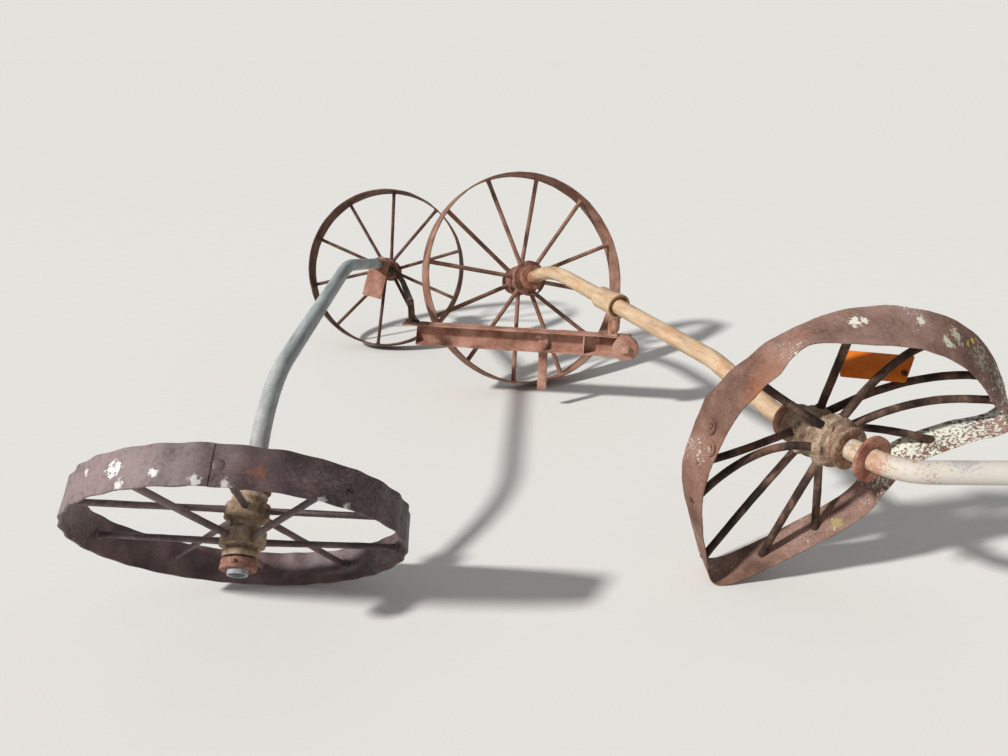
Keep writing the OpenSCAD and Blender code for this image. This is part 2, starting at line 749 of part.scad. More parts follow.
// Blank tag riveted to the front of a bowed spoke
tag_size = [190, 1.6, 82];
tag_spoke = 2;
tag_share = 0.36;
tag_turns = [-45, 0, -15];
tag_shift = [-26.1, -14.9, 50.5];
tag_rivet = [68, -12];
module tag() {
    color("orange") centred()
        translate(fr_middle + bow_point(tag_spoke, tag_share))
            rotate(tag_turns)
                translate([tag_shift.x, tag_shift.y - bent_spoke / 2, tag_shift.z]) {
                    translate([-tag_size.x / 2, -tag_size.y, -tag_size.z / 2])
                        cube(tag_size);
                    translate([tag_rivet.x, -tag_size.y, tag_rivet.y])
                        rotate([90, 0, 0])
                            cylinder(h = 4, r = 9);
                }
}

left_axle_pipe();
left_rear_cap_collar();
left_rear_collar();
left_front_collar();
left_front_cap_collar();
right_crank_pipe();
right_sleeve();
right_main_pipe();
right_rear_cap_collar();
right_rear_collar();
right_disc_collar();
right_front_collar();
right_washer();
right_coupling();
tool_beam();
beam_rib();
beam_end_disc();
shank();
left_arm();
right_hanger();
shield_plate();
rear_right_rim();
rear_right_spokes();
rear_right_hub();
rear_left_rim();
rear_left_spokes();
rear_left_hub();
front_left_rim();
front_left_spokes();
front_left_hub();
front_right_rim();
front_right_spokes();
front_right_hub();
tag();
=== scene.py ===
# Running gear of an old hay rake, left outside for years: rusted spoked wheels on bent pipe axles.
# Metres, in the frame of the CAD model. Each piece's place is in its mesh.
import json
import math

import bmesh
import bpy
from mathutils import Matrix, Vector, noise


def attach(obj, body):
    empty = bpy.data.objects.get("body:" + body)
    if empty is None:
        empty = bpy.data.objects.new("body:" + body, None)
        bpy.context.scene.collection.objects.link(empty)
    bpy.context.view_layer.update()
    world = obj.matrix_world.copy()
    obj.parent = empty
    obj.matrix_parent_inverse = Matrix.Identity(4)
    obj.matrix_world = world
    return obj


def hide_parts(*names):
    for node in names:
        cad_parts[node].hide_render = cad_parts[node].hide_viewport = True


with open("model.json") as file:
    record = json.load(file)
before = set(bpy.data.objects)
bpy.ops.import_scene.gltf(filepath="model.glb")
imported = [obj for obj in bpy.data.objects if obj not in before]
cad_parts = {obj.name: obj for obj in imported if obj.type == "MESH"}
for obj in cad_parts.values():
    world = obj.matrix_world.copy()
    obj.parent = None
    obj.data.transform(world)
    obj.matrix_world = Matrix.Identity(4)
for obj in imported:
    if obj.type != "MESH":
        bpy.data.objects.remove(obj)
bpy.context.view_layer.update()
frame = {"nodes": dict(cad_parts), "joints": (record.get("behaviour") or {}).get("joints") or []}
joints = {joint["child"]: joint for joint in frame["joints"]}
print("frame loaded:", len(frame["nodes"]), "nodes")

# The CAD plan is centred on the origin, which moves its measured points by this much
planShift = Vector((-0.003895, 0.07426, 0))


# Camera and light

def makeCamera():
    view = {"place": Vector((-0.150045, -2.9, 1.5)), "pitch": 23.2, "lens": 27.04, "sensor": 36}
    data = bpy.data.cameras.new("camera")
    data.lens = view["lens"]
    data.sensor_width = view["sensor"]
    camera = bpy.data.objects.new("camera", data)
    camera.location = view["place"] + planShift
    camera.rotation_euler = (math.radians(90 - view["pitch"]), 0, 0)
    bpy.context.scene.collection.objects.link(camera)
    bpy.context.scene.camera = camera


def linear(hexColour):
    parts = [int(hexColour[i:i + 2], 16) / 255 for i in (1, 3, 5)]
    return tuple(c / 12.92 if c <= 0.04045 else ((c + 0.055) / 1.055) ** 2.4 for c in parts) + (1,)


# One node with its settings, its inputs (values or sockets) and, for a ramp, its stops
def addNode(tree, kind, inputs=None, stops=None, **settings):
    node = tree.nodes.new(kind)
    for name, value in settings.items():
        setattr(node, name, value)
    for name, value in (inputs or {}).items():
        if isinstance(value, bpy.types.NodeSocket):
            tree.links.new(value, node.inputs[name])
        else:
            node.inputs[name].default_value = value
    if stops:
        ramp = node.color_ramp
        while len(ramp.elements) < len(stops):
            ramp.elements.new(0.5)
        for element, (position, colour) in zip(ramp.elements, stops):
            element.position = position
            element.color = colour
    return node


def makeStudio():
    studio = {"floor": "#dedbd5", "backdrop": "#e4e2dd", "sky": "#e6e9ee", "skyLight": 0.42,
              "floorSize": 400, "sunLight": 3.8, "sunFrom": Vector((-0.80, -0.46, 0.72)), "sunSize": 4}
    bm = bmesh.new()
    bmesh.ops.create_grid(bm, x_segments=1, y_segments=1, size=studio["floorSize"] / 2)
    mesh = bpy.data.meshes.new("floor")
    bm.to_mesh(mesh)
    bm.free()
    floor = bpy.data.objects.new("floor", mesh)
    bpy.context.scene.collection.objects.link(floor)
    paper = bpy.data.materials.new("backdropPaper")
    paper.use_nodes = True
    shader = paper.node_tree.nodes["Principled BSDF"]
    shader.inputs["Base Color"].default_value = linear(studio["floor"])
    shader.inputs["Roughness"].default_value = 0.9
    shader.inputs["Specular IOR Level"].default_value = 0.1
    mesh.materials.append(paper)
    world = bpy.data.worlds.new("studio")
    world.use_nodes = True
    tree = world.node_tree
    seen = addNode(tree, "ShaderNodeLightPath").outputs["Is Camera Ray"]
    shown = addNode(tree, "ShaderNodeMix",
                    {0: seen, 6: linear(studio["sky"]), 7: linear(studio["backdrop"])}, data_type="RGBA")
    power = addNode(tree, "ShaderNodeMix", {0: seen, 2: studio["skyLight"], 3: 1.0})
    tree.links.new(shown.outputs[2], tree.nodes["Background"].inputs["Color"])
    tree.links.new(power.outputs[0], tree.nodes["Background"].inputs["Strength"])
    bpy.context.scene.world = world
    data = bpy.data.lights.new("sun", "SUN")
    data.energy = studio["sunLight"]
    data.angle = math.radians(studio["sunSize"])
    lamp = bpy.data.objects.new("sun", data)
    lamp.rotation_euler = (-studio["sunFrom"]).to_track_quat("-Z", "Y").to_euler()
    bpy.context.scene.collection.objects.link(lamp)


# Frame of a hub: z along its axle, x level
def hubFrame(body):
    along = Vector(joints[body]["axis"]).normalized()
    level = Vector((-along.y, along.x, 0)).normalized()
    turned = Matrix((level, along.cross(level), along)).transposed().to_4x4()
    return Matrix.Translation(joints[body]["pos_m"]) @ turned


# Way of an axle end, turned from the machine's length and raised above level
def axleWay(turn, rise):
    turn, rise = math.radians(turn), math.radians(rise)
    return Vector((math.sin(turn) * math.cos(rise), -math.cos(turn) * math.cos(rise), math.sin(rise)))


# A place on a wheel: angle round its axle, distance from it, and way along it
def onWheel(body, angle, reach, along=0.0):
    angle = math.radians(angle)
    return hubFrame(body) @ Vector((reach * math.cos(angle), reach * math.sin(angle), along))


bpy.context.scene.view_settings.view_transform = "Standard"
makeCamera()
makeStudio()
print("camera and studio")


# Materials

# Sizes of the patterns in millimetres. Real grains of rust are finer and are drawn coarser here to show.
patternSize = {"grain": 5.263, "ragged": 10.526, "bend": 4.545, "bloom": 153.8, "cluster": 142.9,
               "crusts": (6, 14)}


# Metal that has stood outside. Three tones lie in patches as long as "patch" says in metres, under a grain.
# "bloom" is fresh rust and "lichen" the share of pale crusts. Shades are soft, stains have an edge and
# crusts break up into grains: each has its place, reach, colour and strength.
def weathered(name, look):
    material = bpy.data.materials.new(name)
    material.use_nodes = True
    tree = material.node_tree
    shader = tree.nodes["Principled BSDF"]
    place = addNode(tree, "ShaderNodeTexCoord").outputs["Object"]
    turn = (0, 0, math.radians(look.get("turn", 0)))
    along = addNode(tree, "ShaderNodeMapping", {"Vector": place, "Scale": look["patch"], "Rotation": turn},
                    vector_type="TEXTURE").outputs["Vector"]
    patches = addNode(tree, "ShaderNodeTexNoise",
                      {"Vector": along, "Scale": 1.0, "Detail": 6.0, "Roughness": 0.62}).outputs["Fac"]
    tones = [(0.36, linear(look["dark"])), (0.5, linear(look["middle"])), (0.66, linear(look["bright"]))]
    colour = addNode(tree, "ShaderNodeValToRGB", {"Fac": patches}, tones).outputs["Color"]
    if "bloom" in look:
        where = addNode(tree, "ShaderNodeTexNoise",
                        {"Vector": place, "Scale": 1000 / patternSize["bloom"], "Detail": 5.0,
                         "Roughness": 0.7}).outputs["Fac"]
        mask = addNode(tree, "ShaderNodeMapRange",
                       {"Value": where, "From Min": 0.56, "From Max": 0.72,
                        "To Max": look.get("bloomShare", 0.55)}).outputs["Result"]
        colour = addNode(tree, "ShaderNodeMix", {0: mask, 6: colour, 7: linear(look["bloom"])},
                         data_type="RGBA").outputs[2]
    grain = addNode(tree, "ShaderNodeTexNoise",
                    {"Vector": place, "Scale": 1000 / patternSize["grain"], "Detail": 4.0,
                     "Roughness": 0.75}).outputs["Fac"]
    speckle = addNode(tree, "ShaderNodeMapRange",
                      {"Value": grain, "From Min": 0.34, "From Max": 0.66, "To Min": 1 - look["grain"],
                       "To Max": 1 + look["grain"]}).outputs["Result"]
    colour = addNode(tree, "ShaderNodeVectorMath", {0: colour, "Scale": speckle},
                     operation="SCALE").outputs["Vector"]
    wander = addNode(tree, "ShaderNodeTexNoise",
                     {"Vector": place, "Scale": 1000 / patternSize["ragged"], "Detail": 4.0,
                      "Roughness": 0.65}).outputs["Fac"]
    marks = {"shades": {"soft": 1.3, "ragged": 3.0}, "crusts": {"soft": 0.5, "ragged": 8.0},
             "stains": {"soft": 0.3, "ragged": 3.0}}
    for kind, mark in marks.items():
        edge = 0.8 + mark["ragged"] / 2
        for spot, reach, tint, strength in look.get(kind, ()):
            away = addNode(tree, "ShaderNodeVectorMath", {0: place, 1: spot},
                           operation="DISTANCE").outputs["Value"]
            rough = addNode(tree, "ShaderNodeMath", {0: wander, 1: reach * mark["ragged"], 2: away},
                            operation="MULTIPLY_ADD").outputs["Value"]
            mask = addNode(tree, "ShaderNodeMapRange",
                           {"Value": rough, "From Min": reach * edge,
                            "From Max": reach * (edge - mark["soft"]), "To Max": strength}).outputs["Result"]
            colour = addNode(tree, "ShaderNodeMix", {0: mask, 6: colour, 7: linear(tint)},
                             data_type="RGBA").outputs[2]
    if "lichen" in look:
        bend = addNode(tree, "ShaderNodeTexNoise",
                       {"Vector": place, "Scale": 1000 / patternSize["bend"],
                        "Detail": 2.0}).outputs["Color"]
        bent = addNode(tree, "ShaderNodeVectorMath", {0: bend, 1: (0.005, 0.005, 0.005), 2: place},
                       operation="MULTIPLY_ADD").outputs["Vector"]
        cluster = addNode(tree, "ShaderNodeTexNoise",
                          {"Vector": place, "Scale": 1000 / patternSize["cluster"],
                           "Detail": 3.0}).outputs["Fac"]
        for size in patternSize["crusts"]:
            middle = addNode(tree, "ShaderNodeTexVoronoi",
                             {"Vector": bent, "Scale": 1000 / size, "Randomness": 1.0}).outputs["Distance"]
            reach = addNode(tree, "ShaderNodeMapRange",
                            {"Value": cluster, "From Min": 0.74 - look["lichen"] * 0.42, "From Max": 0.8,
                             "To Max": 0.42}).outputs["Result"]
            inside = addNode(tree, "ShaderNodeMath", {0: reach, 1: middle},
                             operation="SUBTRACT").outputs["Value"]
            mask = addNode(tree, "ShaderNodeMapRange",
                           {"Value": inside, "From Max": 0.07, "To Max": 0.85}).outputs["Result"]
            colour = addNode(tree, "ShaderNodeMix", {0: mask, 6: colour, 7: linear(look["crust"])},
                             data_type="RGBA").outputs[2]
    tree.links.new(colour, shader.inputs["Base Color"])
    shader.inputs["Roughness"].default_value = look["rough"]
    shader.inputs["Specular IOR Level"].default_value = look.get("gloss", 0.25)
    relief = addNode(tree, "ShaderNodeBump", {"Height": grain, "Distance": 0.0012, "Strength": look["bump"]})
    tree.links.new(relief.outputs["Normal"], shader.inputs["Normal"])
    return material


# Marks on the front left rim: each has its angle, its way along the axle, reach, colour and strength
def rimMarks(*marks):
    return [(onWheel("front_left_wheel", angle, 0.425, along), *mark) for angle, along, *mark in marks]


# Old red paint gone to rust: matt brown with a pink cast where the paint still holds
paintedSteel = weathered("redPaintGoneToRust", {
    "dark": "#7c5546", "middle": "#a27765", "bright": "#bb9380",
    "patch": (0.10, 0.10, 0.10), "bloom": "#b06a42", "grain": 0.24, "rough": 0.85, "bump": 0.7})
# The same paint on the big rear wheel, weathered darker, its bare inside orange-brown
wheelSteel = weathered("darkerPaintGoneToRust", {
    "dark": "#70503f", "middle": "#866353", "bright": "#9c7868",
    "patch": (0.07, 0.07, 0.07), "bloom": "#9c6440", "grain": 0.24, "rough": 0.85, "bump": 0.7})
# Dark brown scale of the small rear wheel, made darker still all over as painted shade for the deep shadow
# inside its rim
scaleSteelDarkenedAsShade = weathered("brownScaleDarkenedAsShade", {
    "dark": "#493229", "middle": "#5f4338", "bright": "#7c6054",
    "patch": (0.07, 0.07, 0.07), "bloom": "#7b4d36", "grain": 0.26, "rough": 0.85, "bump": 0.7})
# Strip steel that is only rust now: grey-brown, spotted with pale lichen, orange where it still flakes,
# lighter along its top as a painted highlight
stripSteel = weathered("rustedStripSteel", {
    "dark": "#5e453b", "middle": "#7c5f53", "bright": "#97796d",
    "patch": (0.14, 0.14, 0.14), "bloom": "#8a5a40", "bloomShare": 0.5, "grain": 0.3, "rough": 0.85,
    "bump": 1.0, "lichen": 0.56, "crust": "#d0ccbd",
    "shades": [
        ((0.526, -1.044, 0.760), 0.11, "#96603f", 0.75), ((0.494, -1.059, 0.699), 0.07, "#a05e38", 0.8),
        ((0.597, -1.012, 0.842), 0.06, "#93593e", 0.8), ((0.360, -0.990, 0.40), 0.34, "#7b503b", 0.6),
        # Painted light: the pale shade at the top centre is a painted highlight, the top of the rim made
        # lighter where the light falls on it; the shade at the upper right makes the rim darker there
        ((0.800, -1.000, 0.880), 0.34, "#9a8077", 0.6), ((1.150, -0.930, 0.730), 0.20, "#5f4d43", 0.6)],
    "crusts": [
        ((1.252, -0.883, 0.590), 0.11, "#4d463b", 0.7), ((1.105, -0.915, 0.519), 0.13, "#4d463b", 0.7),
        ((0.995, -0.907, 0.472), 0.11, "#4d463b", 0.7), ((1.110, -0.960, 0.760), 0.045, "#a9a592", 0.6),
        ((1.200, -0.920, 0.690), 0.05, "#b4b19f", 0.6), ((1.252, -0.883, 0.590), 0.10, "#d6d5c5", 0.9),
        ((1.105, -0.915, 0.519), 0.12, "#dcdbcc", 0.95), ((0.995, -0.907, 0.472), 0.10, "#d6d6c2", 0.9),
        ((0.940, -0.930, 0.430), 0.07, "#d6d6c6", 0.9), ((0.960, -0.988, 0.418), 0.04, "#bdb9ab", 0.7)],
    "stains": [
        ((0.405, -1.005, 0.509), 0.010, "#c3b7a7", 0.8), ((0.736, -1.004, 0.875), 0.022, "#dad9c9", 0.95),
        ((0.760, -1.000, 0.878), 0.014, "#dad9c9", 0.9), ((0.989, -1.005, 0.822), 0.024, "#cfceb9", 0.9),
        ((0.916, -0.982, 0.871), 0.018, "#d6d5c4", 0.9), ((1.020, -0.985, 0.830), 0.030, "#bdb9a2", 0.8),
        ((1.085, -0.950, 0.807), 0.012, "#c9ad33", 0.9), ((1.060, -0.970, 0.800), 0.010, "#c9ad33", 0.9),
        ((0.837, -0.933, 0.215), 0.025, "#a8a457", 0.5)]})
# The wheel that sank in: purple-brown rust with the last white of its paint in patches, semi-glossy; a
# painted highlight on the left of the rim and painted shade, near black, on its right
buriedSteel = weathered("purpleBrownRustPaintedLightAndShade", {
    "dark": "#463433", "middle": "#5f4a49", "bright": "#7a6462",
    "patch": (0.12, 0.12, 0.12), "bloom": "#6f4a3c", "bloomShare": 0.4, "grain": 0.22, "rough": 0.55,
    "gloss": 0.5, "bump": 0.6, "lichen": 0.1, "crust": "#bdb9ae",
    # Painted light: the pale shade at 125 degrees is a painted highlight on the left of the rim, the
    # near-black one at 15 degrees is painted shade on its right; the orange one at 70 degrees is rust
    "shades": rimMarks((125, 0, 0.52, "#978482", 0.9), (15, 0, 0.66, "#211819", 1.0),
                       (70, 0.010, 0.036, "#9a5f3c", 0.8)),
    "stains": rimMarks((113.5, -0.002, 0.026, "#dcdad5", 0.95), (115, -0.016, 0.016, "#dcdad5", 0.9),
                       (110, 0.038, 0.015, "#d6d3cd", 0.9), (99, 0.018, 0.013, "#dcdad5", 0.9),
                       (86.5, 0.040, 0.017, "#cfccc6", 0.8), (78, 0.043, 0.015, "#cfccc6", 0.7),
                       (140, -0.050, 0.013, "#cfccc6", 0.8), (127.5, -0.015, 0.012, "#d6d3cd", 0.8),
                       (50, 0.048, 0.015, "#cfccc6", 0.8), (41.5, 0.045, 0.012, "#cfccc6", 0.8))
              + [(onWheel("front_left_wheel", 41, 0.420, 0.005), 0.012, "#1c1615", 0.95)]})
# Cast iron: rough grey-brown skin of the sand mould, lichen in crusts
castIron = weathered("rustyCastIron", {
    "dark": "#6b5848", "middle": "#977f69", "bright": "#b5a189",
    "patch": (0.05, 0.05, 0.05), "bloom": "#8f6142", "bloomShare": 0.6, "grain": 0.32, "rough": 0.9,
    "bump": 1.0, "lichen": 0.5, "crust": "#ccc9b4",
    "stains": [(hubFrame("front_right_wheel") @ Vector((0, 0, 0.135)), 0.10, "#7c4f3d", 0.75)]})
# The rear hubs: the same iron without lichen, red-brown
brownIron = weathered("brownCastIron", {
    "dark": "#5b3d33", "middle": "#82594b", "bright": "#a07868",
    "patch": (0.05, 0.05, 0.05), "bloom": "#93603f", "grain": 0.28, "rough": 0.88, "bump": 0.9})
# Hot-rolled bars: dark scale, darkened to near black as painted shade for spokes that lie mostly in shadow;
# brown patches at random and a few grey crusts
barSteelDarkenedAsShade = weathered("rustedBarSteelDarkenedAsShade", {
    "dark": "#231a16", "middle": "#46342b", "bright": "#7d6252",
    "patch": (0.06, 0.06, 0.10), "bloom": "#70482f", "bloomShare": 0.5, "grain": 0.28, "rough": 0.8,
    "bump": 0.8, "lichen": 0.16, "crust": "#99958a"})
# Forged collars and the washer: brighter rust, orange-brown
forgedSteel = weathered("orangeForgedSteel", {
    "dark": "#7a4c3a", "middle": "#9a6a56", "bright": "#b5866f",
    "patch": (0.04, 0.04, 0.04), "bloom": "#a8653a", "grain": 0.26, "rough": 0.88, "bump": 0.9})
# Galvanised pipe gone dull: blue-grey zinc bloom in long streaks, brown-black where it nears the rear hub
greyZinc = weathered("greyZincPipe", {
    "dark": "#7f8585", "middle": "#9ba09f", "bright": "#b4b8b6",
    "patch": (0.04, 0.30, 0.04), "bloom": "#8d8478", "bloomShare": 0.35, "grain": 0.10, "rough": 0.6,
    "gloss": 0.4, "bump": 0.35,
    "shades": [(hubFrame("rear_left_wheel") @ Vector((0, 0, 0.08)), 0.26, "#3b2a23", 0.92),
               ((-0.826, -0.97, 0.46), 0.50, "#a59f90", 0.8)]})
# The other pipe: zinc stained tan by years of rust water, streaked along it, white-grey past the washer
tanZinc = weathered("tanStainedZincPipe", {
    "dark": "#a58768", "middle": "#bda183", "bright": "#cdb594", "patch": (0.03, 0.16, 0.03), "turn": 24.7,
    "bloom": "#b5794f", "bloomShare": 0.45, "grain": 0.12, "rough": 0.62, "gloss": 0.35, "bump": 0.3,
    "shades": [
        ((0.432, -0.330, 0.60), 0.06, "#bf7d50", 0.8), ((0.500, -0.470, 0.60), 0.05, "#bf8454", 0.8),
        ((0.555, -0.590, 0.58), 0.06, "#b9794a", 0.8), ((0.30, -0.03, 0.62), 0.08, "#c08552", 0.6),
        ((0.16, 0.25, 0.62), 0.08, "#b98f66", 0.6)],
    "stains": [
        ((1.02, -1.23, 0.56), 0.42, "#c2bdb4", 0.92), ((0.896, -1.200, 0.55), 0.034, "#a9744c", 0.6),
        ((0.960, -1.215, 0.60), 0.05, "#98958f", 0.6), ((1.10, -1.25, 0.60), 0.05, "#9a9792", 0.5),
        (hubFrame("front_right_wheel") @ Vector((0, 0, 0.19)), 0.05, "#ad7046", 0.75),
        (hubFrame("rear_right_wheel") @ Vector((0, 0, 0.10)), 0.11, "#94603f", 0.8)]})
# Plastic-coated card: flat deep orange, a little faded, soft sheen
orangeCard = weathered("orangeCard", {
    "dark": "#cf640c", "middle": "#de7312", "bright": "#e6801c", "patch": (0.06, 0.06, 0.06),
    "grain": 0.05, "rough": 0.55, "gloss": 0.4, "bump": 0.05})
print("materials")


# Shared shapes

# The piece as it stays: faces outward, smooth but for its sharp edges, in place of its CAD node
def finishPiece(bm, name, body, material, slot, *replaced):
    sharp = 38
    bmesh.ops.recalc_face_normals(bm, faces=bm.faces)
    for face in bm.faces:
        face.smooth = True
    for edge in bm.edges:
        if len(edge.link_faces) == 2 and edge.calc_face_angle() > math.radians(sharp):
            edge.smooth = False
    mesh = bpy.data.meshes.new(name)
    bm.to_mesh(mesh)
    bm.free()
    mesh.materials.append(material)
    piece = bpy.data.objects.new(name, mesh)
    bpy.context.scene.collection.objects.link(piece)
    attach(piece, body)
    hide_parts(*replaced)


# Frame with z along a direction
def frameAlong(place, along, side=None):
    along = Vector(along).normalized()
    side = Vector(side) if side else along.orthogonal()
    side = (side - along * side.dot(along)).normalized()
    return Matrix.Translation(place) @ Matrix((side, along.cross(side), along)).transposed().to_4x4()


# A ring of vertices extruded from place to place, each ring given in full
def loft(bm, rings, closed=False):
    verts = [bm.verts.new(p) for p in rings[0]]
    edges = [bm.edges.new(pair) for pair in zip(verts, verts[1:] + verts[:1])]
    ends = [edges]
    order = {vert: i for i, vert in enumerate(verts)}
    for ring in rings[1:] + ([rings[0]] if closed else []):
        grown = bmesh.ops.extrude_edge_only(bm, edges=edges)["geom"]
        fresh = {}
        for vert in (g for g in grown if isinstance(g, bmesh.types.BMVert)):
            for edge in vert.link_edges:
                if edge.other_vert(vert) in order:
                    fresh[vert] = order[edge.other_vert(vert)]
        edges = [g for g in grown if isinstance(g, bmesh.types.BMEdge) and all(v in fresh for v in g.verts)]
        for vert, i in fresh.items():
            vert.co = ring[i]
        order = fresh
    ends.append(edges)
    if closed:
        bmesh.ops.remove_doubles(bm, verts=list(order) + verts, dist=1e-6)
    return ends


def capEnds(bm, ends):
    for edges in ends:
        bmesh.ops.contextual_create(bm, geom=edges)


def circleRing(place, radius, segments, swell=None):
    ring = []
    for i in range(segments):
        angle = 2 * math.pi * i / segments
        reach = radius * (1 + swell(angle)) if swell else radius
        ring.append(place @ Vector((reach * math.cos(angle), reach * math.sin(angle), 0)))
    return ring


# Stops along a route with rounded corners: place, direction, and the way to the inside of the bend
def routeStops(points, bends, gap):
    points = [Vector(p) for p in points]
    ways = [(b - a).normalized() for a, b in zip(points, points[1:])]
    stops = [(points[0], ways[0], None)]
    for i in range(1, len(points)):
        here, before = stops[-1][0], ways[i - 1]
        last = i == len(points) - 1
        turn = 0 if last else before.angle(ways[i])
        end = points[i] - before * (0 if last else bends[i] * math.tan(turn / 2))
        count = max(1, round((end - here).length / gap))
        stops += [(here.lerp(end, (k + 1) / count), before, None) for k in range(count)]
        if not last:
            axis = before.cross(ways[i]).normalized()
            inside = axis.cross(before)
            centre = end + inside * bends[i]
            count = max(3, round(turn * bends[i] / gap))
            for k in range(1, count + 1):
                spin = Matrix.Rotation(turn * k / count, 3, axis)
                stops.append((centre - spin @ inside * bends[i], spin @ before, spin @ inside))
    return stops


# A smooth curve through points, with count steps from each to the next
def smoothLine(points, count):
    points = [points[0] * 2 - points[1]] + list(points) + [points[-1] * 2 - points[-2]]
    line = []
    for p0, p1, p2, p3 in zip(points, points[1:], points[2:], points[3:]):
        for k in range(count):
            t = k / count
            line.append(0.5 * (2 * p1 + t * (p2 - p0) + t * t * (2 * p0 - 5 * p1 + 4 * p2 - p3)
                               + t ** 3 * (3 * p1 - p0 - 3 * p2 + p3)))
    return line + [points[-2]]


def framesAlong(line):
    ways = [(line[min(i + 1, len(line) - 1)] - line[max(i - 1, 0)]).normalized() for i in range(len(line))]
    side = ways[0].orthogonal()
    frames = []
    for place, way in zip(line, ways):
        frames.append(frameAlong(place, way, side))
        side = frames[-1].to_3x3().col[0]
    return frames


# A shape made by itself, its sharp edges rounded, then set in place and added to the piece
def addShape(bm, shape, place, bevel=0.0):
    bmesh.ops.recalc_face_normals(shape, faces=shape.faces)
    if bevel:
        sharp = [edge for edge in shape.edges
                 if len(edge.link_faces) == 2 and edge.calc_face_angle() > math.radians(25)]
        bmesh.ops.bevel(shape, geom=sharp, offset=bevel, offset_type="OFFSET", segments=2, profile=0.5,
                        affect="EDGES", clamp_overlap=True, material=-1)
    bmesh.ops.transform(shape, matrix=place, verts=shape.verts)
    mesh = bpy.data.meshes.new("shape")
    shape.to_mesh(mesh)
    shape.free()
    bm.from_mesh(mesh)
    bpy.data.meshes.remove(mesh)


# A ring-shaped casting turned from its half section (radius, height)
def turned(bm, profile, steps, place, bevel=0.0):
    shape = bmesh.new()
    verts = [shape.verts.new((radius, 0, height)) for radius, height in profile]
    edges = [shape.edges.new(pair) for pair in zip(verts, verts[1:] + verts[:1])]
    bmesh.ops.spin(shape, geom=verts + edges, cent=(0, 0, 0), axis=(0, 0, 1), dvec=(0, 0, 0),
                   angle=2 * math.pi, steps=steps, use_merge=True)
    addShape(bm, shape, place, bevel)


# A plate or bar with rounded edges, from its low corner to its high corner
def block(bm, place, low, high, bevel=0.0015):
    low, high = Vector(low), Vector(high)
    shape = bmesh.new()
    size = Matrix.Diagonal((*(high - low), 1))
    bmesh.ops.create_cube(shape, size=1, matrix=Matrix.Translation((low + high) / 2) @ size)
    bmesh.ops.subdivide_edges(shape, edges=shape.edges, cuts=3, use_grid_fill=True)
    addShape(bm, shape, place, bevel)


# A flat plate with the given outline
def flatPlate(bm, place, outline, wall, bevel=0.0015):
    shape = bmesh.new()
    face = shape.faces.new([shape.verts.new((x, y, 0)) for x, y in outline])
    grown = bmesh.ops.extrude_face_region(shape, geom=[face])["geom"]
    verts = [g for g in grown if isinstance(g, bmesh.types.BMVert)]
    bmesh.ops.translate(shape, verts=verts, vec=(0, 0, wall))
    addShape(bm, shape, place, bevel)


# Bolt head, nut or pin end: a prism with its top edge broken
def fastener(bm, place, radius, height, sides=6):
    shape = bmesh.new()
    bmesh.ops.create_cone(shape, cap_ends=True, segments=sides, radius1=radius, radius2=radius * 0.97,
                          depth=height, matrix=Matrix.Translation((0, 0, height / 2)))
    addShape(bm, shape, place, radius * 0.12)


# Low domed head of a rivet or of a peened spoke end
def rivet(bm, place, radius, height):
    shape = place @ Matrix.Diagonal((1, 1, height / radius, 1))
    bmesh.ops.create_uvsphere(bm, u_segments=16, v_segments=8, radius=radius, matrix=shape)


# Small unevenness of a surface that was hammered, bent or eaten by rust, mostly into the metal
def roughen(bm, amount, size, seed=0.0):
    bm.normal_update()
    offset = Vector((seed, seed * 0.7, -seed))
    for vert in bm.verts:
        vert.co += vert.normal * amount * (noise.noise(vert.co / size + offset) - 0.4)


# Rims

# Strip that the rims are rolled from. Its end laps over by "lap" and sinks back over "lapFade" degrees.
# Spoke heads stand out of it and their shoulders stand inside.
strip = {"width": 0.100, "wall": 0.007, "lap": 0.0018, "lapFade": 30,
         "headRadius": 0.015, "headHeight": 0.0034, "shoulderRadius": 0.0165, "shoulderHeight": 0.006,
         "rows": [0.0, 0.012, 0.06, 0.2, 0.35, 0.5, 0.65, 0.8, 0.94, 0.988, 1.0]}


# Places of a rim section: along its width u (0 far, 1 near) and through its wall w (0 inside, 1 outside)
def bandSection(corner):
    outside = [(u, 1 if 0.005 < u < 0.995 else 0.75) for u in strip["rows"]]
    inside = [(u, 0 if 0.005 < u < 0.995 else 0.25) for u in reversed(strip["rows"])]
    return [corner(u, w) for u, w in outside + inside]


